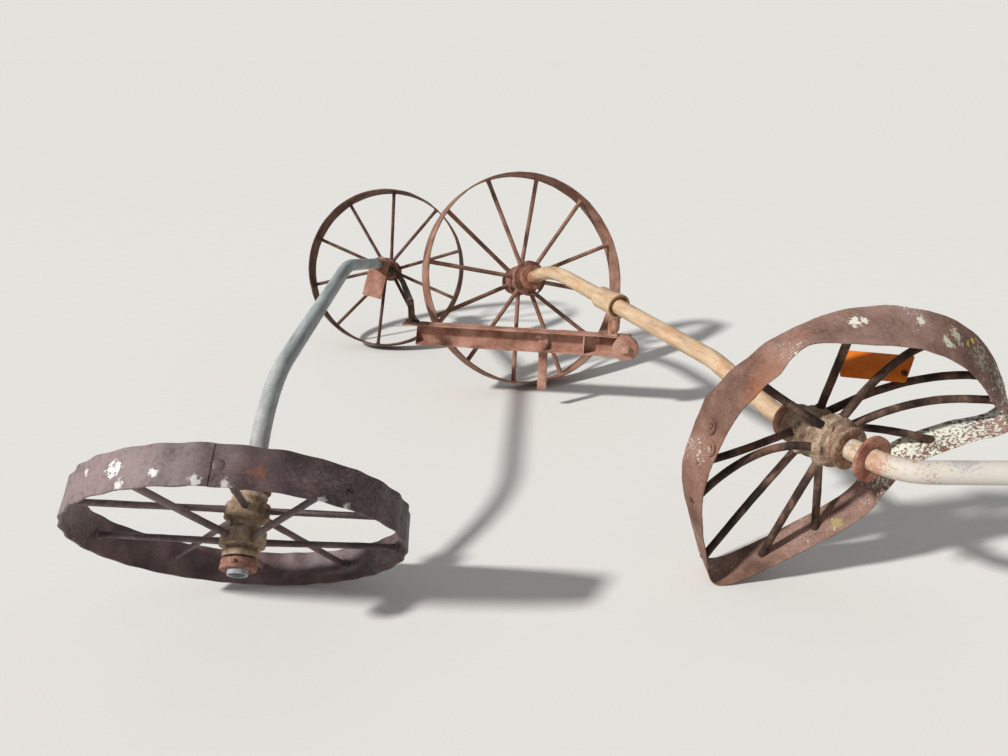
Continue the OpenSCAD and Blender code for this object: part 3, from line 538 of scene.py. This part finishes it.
# "joint" is the angle of the lap where the strip was closed, "ripples" the beats of the hammered edges
def makeRim(name, body, wheel):
    place = hubFrame(body)
    radius, ripple, lapHeight = wheel["radius"], wheel.get("ripple", 0), strip["lap"]
    lapEdge = [math.radians(wheel["joint"] - 0.04), math.radians(wheel["joint"] + 0.04)]
    rings = []
    for angle in sorted([2 * math.pi * i / 360 for i in range(360)] + lapEdge):
        wave = ripple * math.sin(angle * wheel.get("ripples", 0))
        wave *= 0.75 + 0.25 * noise.noise(Vector((angle * 3, 0, 0)))
        past = (math.degrees(angle) - wheel["joint"]) % 360
        step = lapHeight * (1 - past / strip["lapFade"]) if past < strip["lapFade"] else 0

        def corner(u, w):
            edgeWave = wave * (0.35 + 0.65 * abs(2 * u - 1))
            reach = radius - strip["wall"] * (1 - w) + edgeWave + step - lapHeight
            z = (u - 0.5) * strip["width"]
            return place @ Vector((reach * math.cos(angle), reach * math.sin(angle), z))
        rings.append(bandSection(corner))
    bm = bmesh.new()
    loft(bm, rings, closed=True)
    roughen(bm, 0.0014, 0.05)
    low = lapHeight + 0.35 * ripple
    for k in range(wheel["spokes"]):
        angle = math.radians(wheel["first"] + 360 * k / wheel["spokes"])
        out = Vector((math.cos(angle), math.sin(angle), 0))
        head = place @ frameAlong(out * (radius - low - lapHeight), out)
        shoulder = place @ frameAlong(out * (radius - low - strip["wall"]), -out)
        rivet(bm, head, strip["headRadius"], strip["headHeight"])
        rivet(bm, shoulder, strip["shoulderRadius"], strip["shoulderHeight"])
    finishPiece(bm, name, body, wheel["steel"], wheel["slot"], name)


# Spokes follow the centre lines of the CAD spokes: its loose bars are told apart, then cut into groups of
# points along each bar, and the middle of each group is a place on the line
def spokeLines(nodeName, body):
    hub = hubFrame(body).translation
    bm = bmesh.new()
    bm.from_mesh(frame["nodes"][nodeName].data)
    bmesh.ops.remove_doubles(bm, verts=bm.verts, dist=1e-5)
    lines, seen = [], set()
    for first in bm.verts:
        if first in seen:
            continue
        seen.add(first)
        island, stack = [], [first]
        while stack:
            vert = stack.pop()
            island.append(vert.co.copy())
            for edge in vert.link_edges:
                other = edge.other_vert(vert)
                if other not in seen:
                    seen.add(other)
                    stack.append(other)
        near = min(island, key=lambda p: (p - hub).length)
        chord = (max(island, key=lambda p: (p - near).length) - near).normalized()
        groups, before = [], -1
        for p in sorted(island, key=lambda p: (p - near).dot(chord)):
            here = (p - near).dot(chord)
            if not groups or here - before > 0.012:
                groups.append([])
            groups[-1].append(p)
            before = here
        lines.append([sum(group, Vector()) / len(group) for group in groups])
    bm.free()
    return lines


# Round bars that reach a little into hub and rim and are thicker at both ends
def makeSpokes(name, body, radius, material, slot):
    bar = {"inHub": 0.012, "inRim": 0.003, "thickerFoot": 0.10, "thickerHead": 0.16}
    bm = bmesh.new()
    for line in spokeLines(name, body):
        line[0] += (line[0] - line[1]).normalized() * bar["inHub"]
        line[-1] += (line[-1] - line[-2]).normalized() * bar["inRim"]
        frames = framesAlong(smoothLine(line, 4 if len(line) > 2 else 16))
        total = len(frames) - 1
        rings = []
        for i, place in enumerate(frames):
            share = i / total
            foot = bar["thickerFoot"] * max(0, 1 - share * 6)
            head = bar["thickerHead"] * max(0, share * 14 - 13)
            rings.append(circleRing(place, radius * (1 + foot + head), 16))
        capEnds(bm, loft(bm, rings))
    roughen(bm, 0.0008, 0.03)
    finishPiece(bm, name, body, material, slot, name)


# Hubs: a cast barrel with a flange for each row of spokes, a boss round the foot of each spoke, and a plug in
# its grease hole. The waist lies between the flanges and the lips at both ends.
def makeHub(name, body, hub):
    cast = {"waistDepth": 0.018, "lipDepth": 0.012, "row": 0.038, "rowHalf": 0.021, "bossLength": 0.022,
            "bossFoot": 2.0, "bossHead": 1.45, "plugRadius": 0.009, "plugHeight": 0.008}
    place = hubFrame(body) @ Matrix.Translation((0, 0, hub.get("shift", 0)))
    half, flange, bore = hub["length"] / 2, hub["flange"], hub["bore"]
    waist, lip = flange - cast["waistDepth"], flange - cast["lipDepth"]
    low, high = cast["row"] - cast["rowHalf"], cast["row"] + cast["rowHalf"]
    profile = [(bore, -half), (lip, -half), (lip, -half + 0.014), (waist, -half + 0.022), (waist, -high),
               (flange, -high + 0.003), (flange, -low), (waist, -low + 0.006), (waist, low - 0.006),
               (flange, low), (flange, high - 0.003), (waist, high), (waist, half - 0.022),
               (lip, half - 0.014), (lip, half), (bore, half)]
    bm = bmesh.new()
    turned(bm, profile, 72, place, bevel=0.002)
    for line in spokeLines(name.replace("_hub", "_spokes"), body):
        way = (line[1] - line[0]).normalized()
        boss = frameAlong(line[0] - way * 0.010, way)
        bmesh.ops.create_cone(bm, cap_ends=True, segments=20, radius1=hub["spoke"] * cast["bossFoot"],
                              radius2=hub["spoke"] * cast["bossHead"], depth=cast["bossLength"], matrix=boss)
    if "disc" in hub:
        addSlottedDisc(bm, place, half, waist - 0.001, hub["disc"])
    plug = place @ frameAlong((0, waist - 0.002, 0), (0, 1, 0))
    fastener(bm, plug, cast["plugRadius"], cast["plugHeight"])
    roughen(bm, 0.0014, 0.02)
    finishPiece(bm, name, body, hub["iron"], "rusty_cast_iron", name)


# Front disc of the big rear hub: two rings, with webs between them where it has no slot
def addSlottedDisc(bm, place, front, inner, disc):
    steps = 144
    back = front - disc["wall"]
    for near, far in ((inner, disc["slotIn"]), (disc["slotOut"], disc["outer"])):
        turned(bm, [(near, back), (far, back), (far, front), (near, front)], steps, place, bevel=0.0015)
    for i in range(steps):
        angle = 360 * (i + 0.5) / steps
        if not any(start <= angle < start + disc["slotLength"] for start in disc["slots"]):
            out = Vector((math.cos(math.radians(angle)), math.sin(math.radians(angle)), 0))
            web = place @ frameAlong(out * disc["slotIn"], (0, 0, 1), out)
            reach = math.pi * disc["slotOut"] / steps + 0.0004
            block(bm, web, (-0.001, -reach, back + 0.0012),
                  (disc["slotOut"] - disc["slotIn"] + 0.001, reach, front - 0.0012), bevel=0)


# "first" is the angle of the first spoke, "shift" how far the hub sits off the middle of the rim
def makeWheels():
    wheels = {
        "rear_right": {"radius": 0.508, "joint": 39.5, "spokes": 12, "first": 14, "spoke": 0.010,
                       "length": 0.170, "flange": 0.072, "bore": 0.03115, "shift": -0.030,
                       "disc": {"outer": 0.084, "wall": 0.018, "slotIn": 0.064, "slotOut": 0.076,
                                "slots": (105, 250), "slotLength": 55},
                       "iron": brownIron, "steel": wheelSteel, "slot": "red_brown_steel"},
        "rear_left": {"radius": 0.428, "joint": 200, "spokes": 10, "first": 15, "spoke": 0.0085,
                      "length": 0.170, "flange": 0.058, "bore": 0.027, "shift": -0.050,
                      "iron": brownIron, "steel": scaleSteelDarkenedAsShade, "slot": "red_brown_steel"},
        "front_left": {"radius": 0.425, "joint": 83, "ripple": 0.0035, "ripples": 30, "spokes": 10,
                       "first": 9, "spoke": 0.0085, "length": 0.170, "flange": 0.058, "bore": 0.027,
                       "iron": castIron, "steel": buriedSteel, "slot": "dark_rusty_steel"},
    }
    for name, wheel in wheels.items():
        body = name + "_wheel"
        makeRim(name + "_rim", body, wheel)
        makeSpokes(name + "_spokes", body, wheel["spoke"], wheel["steel"], wheel["slot"])
        makeHub(name + "_hub", body, wheel)
    buckled = {"spoke": 0.011, "length": 0.200, "flange": 0.072, "bore": 0.03115, "iron": castIron}
    makeSpokes("front_right_spokes", "front_right_wheel", buckled["spoke"], barSteelDarkenedAsShade, "dark_rusty_steel")
    makeHub("front_right_hub", "front_right_wheel", buckled)


# The buckled rim. Rows give its far edge in millimetres, seen along its axle: across, up, and how far the
# near edge lies inside it. Dents and rivets give their row and place on the width (0 far, 1 near), and dents
# their reach and depth.
def makeBuckledRim():
    rim = {"lift": 0.014, "turn": 3.2, "rise": -9.1, "width": 0.115, "wall": 0.007, "steps": 8,
           "rows": [(530, 100, 40), (482, 185, 75), (410, 270, 78), (332, 328, 74), (242, 366, 66),
                    (150, 384, 56), (42, 387, 48), (-50, 368, 24), (-130, 328, -16), (-206, 280, 18),
                    (-268, 224, 38), (-318, 148, 42), (-344, 50, 38), (-360, -54, 34), (-360, -155, 30),
                    (-330, -270, 16), (-292, -380, 6), (-250, -490, 0), (-190, -505, 0), (-97, -453, 0),
                    (12, -374, 0), (110, -296, 0), (172, -226, 0), (206, -140, 0), (262, -52, 6),
                    (390, 5, 12), (500, 36, 24)],
           "dents": [(9.17, 0.80, 0.050, 0.010), (9.6, 0.0, 0.075, 0.013), (10.6, 0.0, 0.075, 0.011),
                     (8.0, 0.45, 0.035, 0.004), (5.42, 0.0, 0.05, -0.004), (17.4, 0.5, 0.040, 0.005),
                     (2.6, 0.3, 0.06, 0.004)],
           "rivets": [(11.83, 0.50), (12.42, 0.75)], "rivetRadius": 0.009, "rivetHeight": 0.004}
    turn = math.radians(rim["turn"])
    level = Vector((math.cos(turn), math.sin(turn), 0))
    along = axleWay(rim["turn"], rim["rise"])
    upward = along.cross(level)
    centre = Vector(joints["front_right_wheel"]["pos_m"]) - Vector((0, 0, rim["lift"]))
    rows = [Vector(row) / 1000 for row in rim["rows"]]
    count = len(rows)
    line = smoothLine(rows[-2:] + rows + rows[:2], rim["steps"])
    line = line[2 * rim["steps"]:(2 + count) * rim["steps"]]

    def inwardAt(i):
        way = (line[(i + 1) % len(line)] - line[i - 1]).to_2d().normalized()
        return Vector((-way.y, way.x))

    def onBand(i, u, w):
        plan = line[i].to_2d() + inwardAt(i) * (line[i].z * u + rim["wall"] * (1 - w))
        return centre + level * plan.x + upward * plan.y + along * (u - 0.5) * rim["width"]

    def inside(i):
        return level * inwardAt(i).x + upward * inwardAt(i).y
    rings = [bandSection(lambda u, w, i=i: onBand(i, u, w)) for i in range(len(line))]
    bm = bmesh.new()
    loft(bm, rings, closed=True)
    for row, u, reach, depth in rim["dents"]:
        i = round(row * rim["steps"]) % len(line)
        spot, way = onBand(i, u, 1), inside(i)
        for vert in bm.verts:
            near = 1 - ((vert.co - spot).length / reach) ** 2
            if near > 0:
                vert.co += way * depth * near * near
    roughen(bm, 0.0022, 0.05, 3.0)
    roughen(bm, 0.0008, 0.014, 4.0)
    for row, u in rim["rivets"]:
        i = round(row * rim["steps"]) % len(line)
        seat = frameAlong(onBand(i, u, 1) + inside(i) * 0.001, -inside(i))
        rivet(bm, seat, rim["rivetRadius"], rim["rivetHeight"])
        turned(bm, [(0.018, -0.003), (0.025, -0.003), (0.0235, 0.0020), (0.0195, 0.0020)], 28, seat)
    finishPiece(bm, "front_right_rim", "front_right_wheel", stripSteel, "rusty_steel", "front_right_rim")


# Axle pipes: bent cold, so the bends are wrinkled. Points and bend radii as in the CAD model.

# Rings of a pipe with open ends: each end shows its wall, then a way into the bore
def openPipe(rings, frames, radius, wall):
    depth = 0.09
    first, last = frames[0], frames[-1]
    inner = radius - wall
    start = [first @ Matrix.Translation((0, 0, depth)), first]
    stop = [last, last @ Matrix.Translation((0, 0, -depth))]
    count = len(rings[0])
    return ([circleRing(place, inner, count) for place in start] + rings
            + [circleRing(place, inner, count) for place in stop])


# Each wrinkle has its place, its reach along the pipe and its height
def makePipe(name, points, bends, pipe, wrinkles=()):
    stops = routeStops(points, bends, 0.005)
    frames, side = [], stops[0][1].orthogonal()
    for place, way, inside in stops:
        frames.append(frameAlong(place, way, side))
        side = frames[-1].to_3x3().col[0]
    rings = []
    for i, (place, way, inside) in enumerate(stops):
        local = frames[i].to_3x3().inverted()

        def swell(angle):
            out = Vector((math.cos(angle), math.sin(angle), 0))
            total = 0.004 * noise.noise(place * 9 + out * 0.5) - 0.004
            if inside is not None:
                lean = (local @ inside).to_2d().normalized() @ out.to_2d()
                total += 0.008 * max(0, lean) * math.sin(i * 0.95) - 0.008
            for centre, reach, height in wrinkles:
                away = (place - Vector(centre)).dot(way)
                if abs(away) < reach:
                    total += height * math.cos(away / reach * math.pi) * (0.7 + 0.3 * math.cos(angle))
            return total
        rings.append(circleRing(frames[i], pipe["radius"], 44, swell))
    bm = bmesh.new()
    capEnds(bm, loft(bm, openPipe(rings, frames, pipe["radius"] * 0.996, pipe["wall"])))
    finishPiece(bm, name, "frame", pipe["zinc"], pipe["slot"], name)


# "kink" is the rise past the first bend of the rear end, "fall" the slope of the long run, and each lead the
# length of straight pipe next to a hub. The spiral is an old winding that shows as ridges.
def makePipes():
    rearLeft, frontLeft = hubFrame("rear_left_wheel"), hubFrame("front_left_wheel")
    rearRight, frontRight = hubFrame("rear_right_wheel"), hubFrame("front_right_wheel")
    left = {"radius": 0.026, "wall": 0.0039, "zinc": greyZinc, "slot": "grey_galvanised",
            "top": Vector((-0.8115, 0.23093, 0.677)), "rearEnd": -0.178, "rearLead": 0.174,
            "frontLead": -0.418, "frontEnd": 0.128, "bends": [0, 0.15, 0.8, 0.6, 0],
            "ridges": 13, "ridgeReach": 0.012}
    right = {"radius": 0.03015, "wall": 0.0045, "zinc": tanZinc, "slot": "tan_galvanised", "turn": 24.4,
             "kink": 24.6, "fall": -1.4, "frontRise": 3.5, "rearEnd": -0.158, "rearLead": 0.108,
             "kneeLead": 0.185, "crankLength": 0.4885, "mainStart": 0.4888, "dropLead": 0.173,
             "dropRun": 0.300, "turnLead": 0.250, "outerTurn": 77, "outerRise": 7, "outerLength": 0.2857,
             "creases": [((0.136, 0.328, 0.604), 0.008, 0.05), ((0.186, 0.220, 0.601), 0.008, 0.05),
                         ((0.207, 0.174, 0.600), 0.008, 0.04)]}
    spiral = []
    for k in range(left["ridges"]):
        ridge = (-0.826, -0.20 - 0.055 * k, 0.655 - 0.004 * k)
        spiral.append((ridge, left["ridgeReach"], 0.05 if k % 2 else 0.03))
    ends = [rearLeft @ Vector((0, 0, left[end])) for end in ("rearEnd", "rearLead")]
    ends += [frontLeft @ Vector((0, 0, left[end])) for end in ("frontLead", "frontEnd")]
    makePipe("left_axle_pipe", ends[:2] + [left["top"] + planShift] + ends[2:], left["bends"], left, spiral)

    start = rearRight @ Vector((0, 0, right["rearLead"]))
    knee = start + right["kneeLead"] * axleWay(right["turn"], right["kink"])
    wayFront = frontRight.translation - knee
    turn = math.degrees(math.atan2(wayFront.x, -wayFront.y))
    plateau = axleWay(turn, right["fall"])
    cutEnd = rearRight @ Vector((0, 0, right["rearEnd"]))
    makePipe("right_crank_pipe", [cutEnd, start, knee, knee + plateau * right["crankLength"]],
             [0, 0.15, 0.6, 0], right, right["creases"])
    dropLow = frontRight @ Vector((0, 0, -right["dropLead"]))
    level = math.cos(math.radians(right["frontRise"]))
    run = wayFront.to_2d().length - right["dropLead"] * level - right["dropRun"]
    dropHigh = knee + plateau * run / math.cos(math.radians(right["fall"]))
    corner = frontRight @ Vector((0, 0, right["turnLead"]))
    outerWay = axleWay(right["outerTurn"], right["outerRise"])
    makePipe("right_main_pipe",
             [knee + plateau * right["mainStart"], dropHigh, dropLow, corner,
              corner + outerWay * right["outerLength"]], [0, 0.26, 0.26, 0.15, 0], right)
    return knee, plateau, dropHigh, dropLow, corner, outerWay


# Collars on the pipes, each a ring round the axle of a hub: start, length, outer radius and bore
def makeCollars():
    leftBore, mainBore = 0.0263, 0.03045
    collars = {
        "left_rear_cap_collar": ("rear_left_wheel", -0.166, 0.026, 0.046, leftBore),
        "left_rear_collar": ("rear_left_wheel", 0.076, 0.074, 0.036, leftBore),
        "left_front_collar": ("front_left_wheel", -0.118, 0.028, 0.052, leftBore),
        "left_front_cap_collar": ("front_left_wheel", 0.090, 0.026, 0.046, leftBore),
        "right_rear_cap_collar": ("rear_right_wheel", -0.146, 0.026, 0.062, mainBore),
        "right_rear_collar": ("rear_right_wheel", 0.060, 0.028, 0.058, mainBore),
        "right_front_collar": ("front_right_wheel", -0.133, 0.028, 0.054, mainBore),
        "right_washer": ("front_right_wheel", 0.160, 0.012, 0.06415, mainBore),
    }
    for name, (body, start, length, outer, bore) in collars.items():
        bm = bmesh.new()
        place = hubFrame(body) @ Matrix.Translation((0, 0, start))
        turned(bm, [(bore, 0), (outer, 0), (outer, length), (bore, length)], 64, place, bevel=0.002)
        if 0.02 < length < 0.05:  # a set screw with a square head
            fastener(bm, place @ frameAlong((0, outer - 0.002, length / 2), (0, 1, 0)), 0.0075, 0.009, 4)
        roughen(bm, 0.0012, 0.02, 5.0)
        iron = brownIron if name.startswith("left") else forgedSteel
        finishPiece(bm, name, "frame", iron, "rusty_steel", name)


# Disc collar, sleeve and coupling, each turned from its half section (radius, height)
def makeFittings(knee, plateau, dropHigh, dropLow, corner, outerWay):
    bore = 0.03045
    fittings = {
        "right_disc_collar": {
            "place": frameAlong((dropHigh + dropLow) / 2, dropLow - dropHigh), "bevel": 0.002,
            "worn": 0.0012, "seed": 6.0, "steel": forgedSteel, "slot": "rusty_steel",
            "section": [(bore, -0.022), (0.04215, -0.022), (0.04215, 0), (0.06815, 0), (0.06815, 0.012),
                        (bore, 0.012)]},
        "right_sleeve": {
            "place": frameAlong(knee + plateau * 0.420, plateau), "bevel": 0.0008, "worn": 0.0009,
            "seed": 7.0, "steel": tanZinc, "slot": "tan_galvanised",
            "section": [(bore, 0), (0.0435, 0), (0.04445, 0.004), (0.0438, 0.016), (0.0438, 0.108),
                        (0.04445, 0.114), (0.04445, 0.135), (0.0435, 0.137), (0.04045, 0.137),
                        (0.04045, 0.115), (bore, 0.115)]},
        "right_coupling": {
            "place": frameAlong(corner + outerWay * 0.25, outerWay), "bevel": 0.0006, "worn": 0.0008,
            "seed": 8.0, "steel": tanZinc, "slot": "rusty_steel",
            "section": [(bore, 0), (0.0362, 0), (0.03815, 0.004), (0.03815, 0.014), (0.0370, 0.017),
                        (0.0370, 0.063), (0.03815, 0.066), (0.03815, 0.076), (0.0362, 0.08), (0.03065, 0.08),
                        (0.03065, 0.04), (0.02565, 0.04), (0.02565, 0.036), (bore, 0.036)]},
    }
    for name, fitting in fittings.items():
        bm = bmesh.new()
        turned(bm, fitting["section"], 64, fitting["place"], fitting["bevel"])
        roughen(bm, fitting["worn"], 0.03, fitting["seed"])
        finishPiece(bm, name, "frame", fitting["steel"], fitting["slot"], name)


# Tool beam: a rolled channel, open to the front, its end cut to a nose, with its rib, end disc and shank
def makeBeam():
    beam = {"place": Vector((-0.600, 0.330, 0.302)) + planShift, "turn": -7, "slope": 1.2, "length": 1.010,
            "depth": 0.097, "flange": 0.050, "wall": 0.008, "nose": 0.060, "rib": 0.803, "shank": 0.610,
            "shankWidth": 0.042, "shankWall": 0.012, "shankReach": 0.190,
            "bolts": [(0.609, 0.073), (0.633, 0.023), (0.868, 0.071)],
            "boltRadius": 0.014, "boltHeight": 0.013}
    place = (Matrix.Translation(beam["place"]) @ Matrix.Rotation(math.radians(beam["turn"]), 4, "Z")
             @ Matrix.Rotation(math.radians(beam["slope"]), 4, "Y"))
    flange, wall, depth, nose = beam["flange"], beam["wall"], beam["depth"], beam["nose"]
    lower = [(0, 0.0015), (-0.0015, 0), (-flange / 2, 0), (-flange + 0.003, 0), (-flange, 0.003),
             (-flange + 0.001, wall - 0.001), (-flange + 0.004, wall), (-wall - 0.007, wall + 0.001),
             (-wall - 0.002, wall + 0.003), (-wall, wall + 0.008), (-wall, depth * 0.35)]
    upper = [(y, depth - z) for y, z in reversed(lower)]
    section = lower + [(-wall, depth / 2)] + upper + [(0, depth * 0.65), (0, depth * 0.35)]
    stations = [nose * k / 6 for k in range(6)] + [nose - 0.0003]
    stations += [nose + (beam["length"] - nose) * k / 90 for k in range(91)]
    rings = []
    for x in stations:
        cut = depth - wall - 2 * wall * x / nose if x < nose else -1
        rings.append([place @ Vector((x, max(y, -wall) if z < cut else y, max(z, cut))) for y, z in section])
    bm = bmesh.new()
    capEnds(bm, loft(bm, rings))
    bmesh.ops.remove_doubles(bm, verts=bm.verts, dist=1e-5)
    roughen(bm, 0.0018, 0.06, 9.0)
    for x, z in beam["bolts"]:
        under = beam["shankWall"] if x < beam["shank"] + beam["shankWidth"] else 0
        head = place @ frameAlong((x, -wall - under, z), (0, -1, 0), (1, 0, 0))
        fastener(bm, head @ Matrix.Rotation(x * 9, 4, "Z"), beam["boltRadius"], beam["boltHeight"])
    finishPiece(bm, "tool_beam", "frame", paintedSteel, "red_brown_steel", "tool_beam")

    bm = bmesh.new()
    block(bm, place, (beam["rib"], -flange + 0.002, wall), (beam["rib"] + wall, -wall, depth - wall))
    roughen(bm, 0.0010, 0.03, 10.0)
    finishPiece(bm, "beam_rib", "frame", paintedSteel, "red_brown_steel", "beam_rib")

    bm = bmesh.new()
    disc = place @ frameAlong((beam["length"] - 0.022, -wall, depth / 2), (0, -1, 0), (1, 0, 0))
    turned(bm, [(0.002, 0.0423), (0.055, 0.0423), (0.057, 0.045), (0.057, 0.0515), (0.055, 0.0543),
                (0.002, 0.0543)], 56, disc, bevel=0.0008)
    fastener(bm, disc, 0.013, 0.0783, 24)
    block(bm, disc, (-0.017, -0.017, 0.0543), (0.017, 0.017, 0.0703), 0.003)
    roughen(bm, 0.0010, 0.02, 11.0)
    finishPiece(bm, "beam_end_disc", "frame", paintedSteel, "red_brown_steel", "beam_end_disc")

    bm = bmesh.new()
    block(bm, place, (beam["shank"], -wall - beam["shankWall"], -beam["shankReach"]),
          (beam["shank"] + beam["shankWidth"], -wall, depth - wall), 0.003)
    roughen(bm, 0.0014, 0.04, 12.0)
    finishPiece(bm, "shank", "frame", paintedSteel, "red_brown_steel", "shank")
    return place, beam


# Bars that carry the beam: a clamp ring on the pipe, a bent round bar and a foot on the beam
def makeBars(knee, plateau, beamPlace, beam):
    bars = {"radius": 0.014, "bend": 0.045, "rise": 0.09, "footReach": 0.03, "footWall": 0.008,
            "bolt": 0.021, "boltRadius": 0.0075, "boltHeight": 0.006, "leftFoot": 0.04, "rightFoot": 0.92}
    depth, flange, footWall = beam["depth"], beam["flange"], bars["footWall"]
    rearLeft = hubFrame("rear_left_wheel")

    def leg(bm, points, bends, x):
        foot = Vector((x, -flange / 2, depth))
        top, low = foot + Vector((0, 0, bars["rise"])), foot + Vector((0, 0, footWall / 2))
        stops = routeStops(points + [beamPlace @ top, beamPlace @ low], bends + [bars["bend"], 0], 0.010)
        rings, side = [], stops[0][1].orthogonal()
        for place, way, inside in stops:
            turnedFrame = frameAlong(place, way, side)
            rings.append(circleRing(turnedFrame, bars["radius"], 20))
            side = turnedFrame.to_3x3().col[0]
        capEnds(bm, loft(bm, rings))
        reach = bars["footReach"]
        block(bm, beamPlace, (x - reach, -flange, depth), (x + reach, 0, depth + footWall))
        for bolt in (x - bars["bolt"], x + bars["bolt"]):
            seat = beamPlace @ Matrix.Translation((bolt, -flange / 2, depth + footWall))
            fastener(bm, seat, bars["boltRadius"], bars["boltHeight"])

    bm = bmesh.new()
    middle = rearLeft @ Vector((0, 0, 0.054))
    side = rearLeft.to_3x3().col[0]
    leg(bm, [middle + side * 0.040, middle + side * 0.110 - Vector((0, 0.05, 0.06))], [0, 0.06],
        bars["leftFoot"])
    turned(bm, [(0.0263, 0), (0.048, 0), (0.048, 0.028), (0.0263, 0.028)], 48,
           rearLeft @ Matrix.Translation((0, 0, 0.040)), bevel=0.002)
    roughen(bm, 0.0012, 0.03, 14.0)
    finishPiece(bm, "left_arm", "frame", barSteelDarkenedAsShade, "red_brown_steel", "left_arm")

    bm = bmesh.new()
    centre = knee + plateau * 0.544
    leg(bm, [centre - Vector((0, 0, 0.046)), centre - Vector((0, 0, 0.10))], [0, 0.025], bars["rightFoot"])
    roughen(bm, 0.0010, 0.03, 15.0)
    finishPiece(bm, "hanger_leg", "frame", paintedSteel, "red_brown_steel", "right_hanger")
    bm = bmesh.new()
    turned(bm, [(0.04475, 0), (0.05045, 0), (0.05045, 0.026), (0.04475, 0.026)], 64,
           frameAlong(knee + plateau * 0.531, plateau), bevel=0.0015)
    roughen(bm, 0.0010, 0.03, 17.0)
    finishPiece(bm, "hanger_ring", "frame", tanZinc, "red_brown_steel", "right_hanger")


# Five-sided plate on the left axle, cut from flat bar stock
def makePlate():
    plate = {"outline": [(-0.005, 0.058), (0.042, 0.015), (0.002, -0.180), (-0.104, -0.158), (-0.070, 0)],
             "start": 0.068, "wall": 0.008}
    place = hubFrame("rear_left_wheel") @ Matrix.Translation((0, 0, plate["start"]))
    bm = bmesh.new()
    flatPlate(bm, place, plate["outline"], plate["wall"])
    roughen(bm, 0.0010, 0.03, 16.0)
    finishPiece(bm, "shield_plate", "frame", paintedSteel, "red_brown_steel", "shield_plate")


# Blank orange card on a spoke: flat, one end cut slanting, its corners rounded, held by one dark rivet
def makeTag():
    tag = {"place": Vector((0.8754, -0.9763, 0.7100)) + planShift, "tilt": -45, "turn": -15,
           "size": Vector((0.190, 0.0016, 0.082)), "corner": 0.005, "slant": 0.024,
           "rivet": Vector((0.068, -0.0008, -0.012)), "rivetRadius": 0.009, "rivetHeight": 0.004}
    place = (Matrix.Translation(tag["place"]) @ Matrix.Rotation(math.radians(tag["turn"]), 4, "Z")
             @ Matrix.Rotation(math.radians(tag["tilt"]), 4, "X"))
    wide, thick, high = tag["size"]
    outline = []
    for cx, cy, first in ((1, 1, 0), (-1, 1, 90), (-1, -1, 180), (1, -1, 270)):
        for k in range(7):
            angle = math.radians(first + 15 * k)
            across = cx * (wide / 2 - tag["corner"]) + tag["corner"] * math.cos(angle)
            upward = cy * (high / 2 - tag["corner"]) + tag["corner"] * math.sin(angle)
            outline.append((across - (tag["slant"] * (0.5 - upward / high) if cx > 0 else 0), upward))
    bm = bmesh.new()
    card = place @ Matrix.Translation((0, thick / 2, 0)) @ Matrix.Rotation(math.radians(90), 4, "X")
    flatPlate(bm, card, outline, thick, 0.0003)
    finishPiece(bm, "tag_card", "front_right_wheel", orangeCard, "orange_tag", "tag")
    bm = bmesh.new()
    rivet(bm, place @ frameAlong(tag["rivet"], (0, -1, 0)), tag["rivetRadius"], tag["rivetHeight"])
    finishPiece(bm, "tag_rivet", "front_right_wheel", barSteelDarkenedAsShade, "rusty_steel", "tag")


makeWheels()
makeBuckledRim()
print("wheels")
pipeRoute = makePipes()
knee, plateau = pipeRoute[:2]
makeCollars()
makeFittings(*pipeRoute)
print("pipes, collars and fittings")
beamPlace, beam = makeBeam()
makeBars(knee, plateau, beamPlace, beam)
makePlate()
makeTag()
print("beam, bars, plate and tag")
